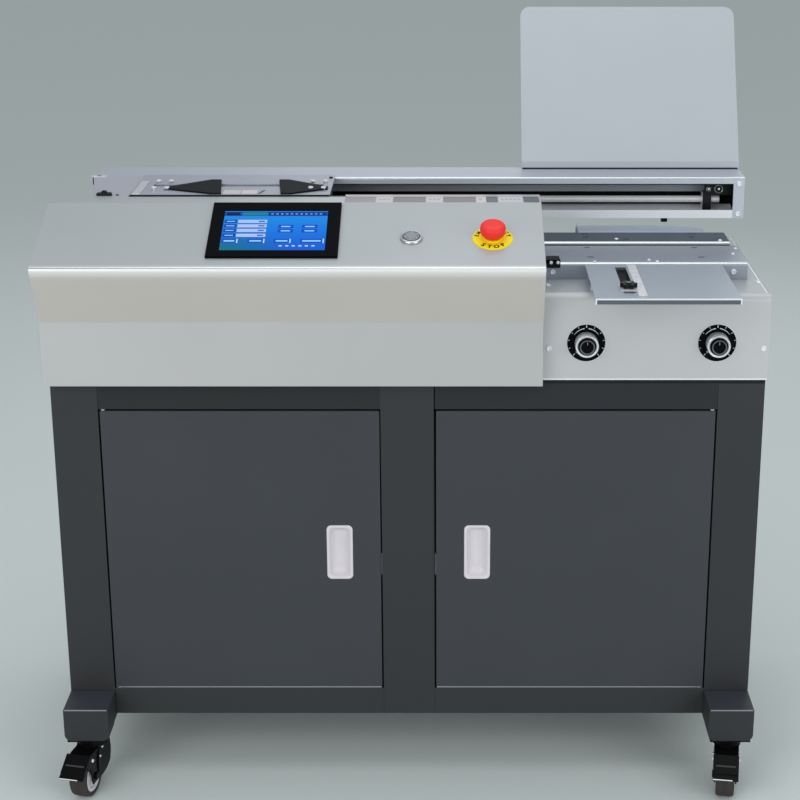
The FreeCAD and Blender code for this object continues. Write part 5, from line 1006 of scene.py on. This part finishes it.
# The plate's front face in black enamel is painted shadow, for the gap under its edge.
dressed("carriage_plate", "lilac_plate", 0.4, rules=(
    ("bright_plate", lambda p, n: p.z > PLATE_TOP + 0.1),
    ("black_enamel", lambda p, n: n.y < -FACING and p.y < 156)))
dressed("carriage_frame", "milled_steel", 0.5, rules=(
    ("black_enamel", lambda p, n: p.y < 206.6 and p.z < 1010),))
dressed("carriage_bearings", "zinc", 0.5)
dressed("clamp_jaw", "grey_plate", 0.5)
dressed("clamp_arms", "arm_enamel", 0.4, rules=(("bright_zinc", on_arm_screw),))
dressed("machine_covers", "charcoal_coat", 0.5, rules=(
    ("cover_top_coat", lambda p, n: p.z > BEAM_TOP and p.y < 340),))
dressed("cover_tray", "tray_sheet", 0.4)

# ---------------------------------------------------------------- milling, gluing and loading

dressed("cutter_disc", "milled_steel", 0.4)
dressed("motors", "black_matt", 1.0, 3)
dressed("chip_duct", "galvanised", 0.3)
dressed("glue_tank", "cast_alloy", 1.2, 3)
dressed("glue_roller_one", "ground_steel", 0.4)
dressed("glue_roller_two", "ground_steel", 0.4)
dressed("process_stands", "black_enamel", rules=(
    ("milled_steel", lambda p, n: p.z > 929.5),
    ("cast_alloy", lambda p, n: p.x > 0 and 849 < p.z < 861)))

# ---------------------------------------------------------------- screws

def flange_screws():
    """The bright screws of the station, the front jaw and the beam's end cap."""
    on_front = [(236, 0, 797), (594, 0, 797), (246, 97, 904), (553, 97, 904),
                (594, BEAM_FRONT, 1008), (594, BEAM_FRONT, 953)]
    spots = [(*spot, TO_FRONT) for spot in on_front]
    spots += [(592, 75, NIP_TOP, UP), (236, 55, NIP_TOP, UP)]
    piece = screws("station_screws", spots, "machine_screws", 5, 2.8, "ground_steel")
    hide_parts("machine_screws")


flange_screws()

# ---------------------------------------------------------------- small fittings

def crowns(node, above):
    """The middles of a node's upward faces above a level: the tops of its screws."""
    bm = own_shape(node)
    middles = [face.calc_center_median() / MM - SHIFT for face in bm.faces
               if face.normal.z > FACING]
    bm.free()
    return [middle for middle in middles if middle.z > above]


def carriage_fittings():
    """Domed caps on the arms' screws, bare label plates between the arms, and a nub."""
    spots = [(point.x, point.y, point.z - 1.4, UP) for point in crowns("clamp_arms", ARM_TOP + 0.1)]
    screws("arm_screw_caps", spots, "clamp_arms", 4.6, 2.6, "white_gloss")
    low, high = PLATE_TOP - SKIN, PLATE_TOP + 0.3
    plate = Form()
    plate.slab((-318, 163, low), (-288, 193, high), "pale_label")
    plate.slab((-286, 163, low), (-260, 193, high), "rose_label")
    plate.outline([(-257, 163), (-254, 163), (-247, 193), (-250, 193)], low, high, "black_matt")
    plate.turned([(3.2, 0), (3.2, 2), (2.6, 2.8), (0, 3)],
                 Matrix.Translation((-140, 300, PLATE_TOP)), "black_gloss", 20)
    plate.made("carriage_labels", "carriage_plate")


def housing_strip():
    """A rear lip as a painted highlight line, and a row of bare label plates along the housing's
    top, the slate ones painted shade.
    """
    strip = Form()
    low = HOUSING_TOP - SKIN
    first = left = -106.5
    for right, finish in ((-53.9, "lilac_label"), (-25.1, "pale_label"), (30.8, "grey_label"),
                          (59.6, "pale_label"), (115.5, "grey_label"), (132.5, "rose_label"),
                          (152.8, "slate_shade_and_sheen"), (195.2, "pale_label"), (222.5, "slate_shade_and_sheen")):
        strip.slab((left + 0.3, 105, low), (right - 0.3, 149, HOUSING_TOP + 0.3), finish)
        if finish in ("pale_label", "rose_label"):
            for step in range(int((right - left) / 7) - 1):
                bar = left + 5 + 7 * step
                strip.slab((bar, 122, HOUSING_TOP + 0.28), (bar + 4.4, 132, HOUSING_TOP + 0.4),
                           "faint_print")
        left = right
    # Painted highlight: the rear lip's bright line.
    for start, end, finish in ((first, 132.5, "rose_label"), (132.5, 224.5, "bright_plate")):
        strip.slab((start, 150.2, low), (end, 151.9, HOUSING_TOP + 3.4), finish)
    strip.made("housing_strip", "control_housing", edge=0.2)


def left_cover_fittings():
    """A white corner bracket with its screw, and a black latch, on the left cover. The bracket's
    white is a painted highlight spot.
    """
    form = Form()
    low, high = HOUSING_TOP - SKIN, HOUSING_TOP + 1.4
    # Painted highlight: the white bracket at the cover's front corner.
    form.slab((-569.5, 321.5, low), (-545, 332.5, high), "white_gloss")
    form.slab((-571.2, 321.5, 1008), (-569.5, 332.5, high), "white_gloss")
    form.slab((-571.2, 331.4, 1008), (-564, 332.9, high), "white_gloss")
    form.turned([(3.4, 0), (3.2, 1.2), (1.6, 1.8), (0, 1.8)],
                Matrix.Translation((-558, 327, HOUSING_TOP + 1.3)), "grey_label", 20)
    form.outline([(-533, 157), (-506, 157), (-509, 168), (-530, 168)], low, HOUSING_TOP + 5,
                 "black_gloss")
    form.turned([(5, 0), (5, 2), (3.6, 3.6), (0, 4)],
                Matrix.Translation((-520, 162, HOUSING_TOP + 4.9)), "black_gloss", 24)
    form.turned([(2.4, 0), (2.2, 1.6), (0, 2)], Matrix.Translation((-498, 163, HOUSING_TOP)),
                "black_gloss", 16)
    form.made("left_cover_fittings", "machine_covers", edge=0.3)


def beam_fittings():
    """Inside the channel: a sloping floor strip, a sensor and a buffer plate with bright rings."""
    form = Form()
    form.outline([(366, 947), (400, 957.5), (400, 947)], -500, 590, "pale_coat", "x")
    form.slab((451, 336, 946.9), (472, 349, 960), "pale_label")
    form.slab((455, 335.8, 950), (468, 336, 957), "grey_label")
    form.slab((456, 338, 937), (467, 350, 945.1), "black_gloss")
    form.slab((534, 352, 984), (602.5, 355, 1006), "black_matt")
    for x, radius in ((541.5, 4.6), (560, 8)):
        matrix = facing_front(x, 352, 995)
        form.turned([(radius - 1.6, 0), (radius, 0), (radius, 1.4), (radius - 0.8, 2),
                     (radius - 1.6, 1.4), (radius - 1.6, 0)], matrix, "bright_zinc", 32)
        form.turned([(2.2, 0), (2, 1), (0, 1.4)], matrix, "bright_zinc", 16)
    form.made("beam_fittings", "beam", edge=0.2)
    # Painted shadow: a black strip under the tray's foot, where its shadow line falls.
    line = Form()
    line.slab((206, 411.3, BEAM_TOP - 0.05), (602, 411.95, BEAM_TOP + 2.6), "black_matt")
    line.made("tray_gasket", "beam")


def jaw_slots(form, places, top):
    """Black patches for slots in a jaw's top, at places of (x, y, length): the slots are real,
    their black is painted shade.
    """
    for x, y, long in places:
        form.outline([(x + a, y + b) for a, b in round_rectangle(long, 5, 2.4)], top - SKIN,
                     top + 0.06, "black_matt")


def jaw_details():
    """Slots and screws on the jaws, and the switch on the front jaw."""
    front = Form()
    jaw_slots(front, ((312, 207, 11), (500, 207, 11), (313, 137, 11), (503, 137, 11)),
              FRONT_JAW_TOP)
    front.slab((232, 93.4, 911.5), (258.5, 97.1, 925), "black_matt")
    front.slab((232, 93.4, 919.9), (258.5, 104.2, 925), "black_matt")
    front.made("front_jaw_details", "nip_jaw_front", edge=0.2)
    spots = [(243, 93.4, 921, TO_FRONT), (254.5, 93.4, 921, TO_FRONT)]
    spots += [(x, y, FRONT_JAW_TOP, UP) for x, y in
              ((571, 200), (561, 160), (317, 103), (411, 116), (424, 106))]
    screws("front_jaw_screws", spots, "nip_jaw_front", 3, 1.8, "ground_steel")
    rear = Form()
    jaw_slots(rear, ((314, 264, 11), (502, 264, 11), (384, 248, 13)), REAR_JAW_TOP)
    rear.made("rear_jaw_slots", "nip_jaw_rear")
    spots = [(367, 248, REAR_JAW_TOP, UP), (549, 236, REAR_JAW_TOP, UP)]
    screws("rear_jaw_screws", spots, "nip_jaw_rear", 3.6, 1.8, "ground_steel")


def cabinet_trim():
    """Painted highlights: bright strips in the gaps under the doors, and a light line on each
    foot's top edge.
    """
    edge_highlights = Form()
    # Painted highlight: a lit edge in each door's bottom gap.
    for side in ("left", "right"):
        low, high = node_box(f"door_{side}")
        edge_highlights.slab((low.x + 1, 1.2, low.z - 2.7), (high.x - 1, 8, low.z - 0.5), "zinc")
    # Painted highlight: a light line along each foot's top front edge.
    for left in (-600, 522):
        edge_highlights.slab((left + 2, -75.2, FOOT_TOP - 1.6), (left + 76, -73.4, FOOT_TOP + 0.2),
                  "steel_grey")
    edge_highlights.made("door_sills", "cabinet_frame", edge=0.2)


carriage_fittings()
housing_strip()
left_cover_fittings()
beam_fittings()
jaw_details()
cabinet_trim()

# ---------------------------------------------------------------- studio

FLOOR_SIZE, FLOOR_MIDDLE = 60, (0, 12, 0)
SEEN_COLOUR = (0.325, 0.365, 0.36, 1)
SOFT_COLOUR, SOFT_STRENGTH = (0.95, 0.97, 1.0, 1), 0.44
CAMERA_AT, CAMERA_TILT = (60.8, -2927.3, 1661.2), math.radians(71.94)
CAMERA_LENS, CAMERA_SENSOR, CAMERA_SHIFT = 82.4, 36, -0.0546
# Name, place and aim in metres, size and power.
LAMPS = (("Key", (-1.8, -3.4, 1.9), (0, 0, 0.75), 2.4, 48),
         ("Fill", (2.6, -3.0, 1.5), (0, 0, 0.7), 2.4, 39),
         ("Top", (0.2, -0.2, 3.4), (0, 0, 0.8), 2.6, 22),
         ("Rear", (0.5, 3.0, 2.6), (0, 0, 0.9), 2.4, 14))


def studio():
    bpy.ops.mesh.primitive_plane_add(size=FLOOR_SIZE, location=FLOOR_MIDDLE)
    floor = bpy.context.object
    floor.name = "studio_floor"
    tree, shader = blank_finish("studio_paper", (222, 233, 231), 0.9, 0.0)
    bumped(tree, shader, grown_noise(tree, EVEN, 40), 0.0005, 0.05)
    floor.data.materials.append(FINISHES["studio_paper"])

    # The world shows one colour to the camera, in gloss and through glass, and lights with another.
    world = bpy.data.worlds.new("Studio")
    bpy.context.scene.world = world
    world.use_nodes = True
    tree = world.node_tree
    tree.nodes.clear()
    path = added(tree, "ShaderNodeLightPath")
    shown = path.outputs["Is Camera Ray"]
    for ray in ("Is Glossy Ray", "Is Transmission Ray"):
        shown = added(tree, "ShaderNodeMath", {0: shown, 1: path.outputs[ray]},
                      operation="MAXIMUM").outputs["Value"]
    seen = added(tree, "ShaderNodeBackground", {"Color": SEEN_COLOUR})
    soft = added(tree, "ShaderNodeBackground", {"Color": SOFT_COLOUR, "Strength": SOFT_STRENGTH})
    mix = added(tree, "ShaderNodeMixShader", {
        "Fac": shown, 1: soft.outputs["Background"], 2: seen.outputs["Background"]})
    added(tree, "ShaderNodeOutputWorld", {"Surface": mix.outputs["Shader"]})

    for name, at, aim, size, power in LAMPS:
        lamp = bpy.data.lights.new(name, "AREA")
        lamp.energy = power
        lamp.size = size
        lamp_object = bpy.data.objects.new(name, lamp)
        lamp_object.location = at
        lamp_object.rotation_euler = (Vector(aim) - Vector(at)).to_track_quat("-Z", "Y").to_euler()
        bpy.context.scene.collection.objects.link(lamp_object)

    bpy.context.scene.view_settings.view_transform = "Standard"
    camera = bpy.data.cameras.new("Camera")
    camera.lens = CAMERA_LENS
    camera.sensor_width = CAMERA_SENSOR
    camera.shift_x = CAMERA_SHIFT
    camera_object = bpy.data.objects.new("Camera", camera)
    camera_object.location = place(*CAMERA_AT)
    camera_object.rotation_euler = (CAMERA_TILT, 0, 0)
    bpy.context.scene.collection.objects.link(camera_object)
    bpy.context.scene.camera = camera_object


studio()
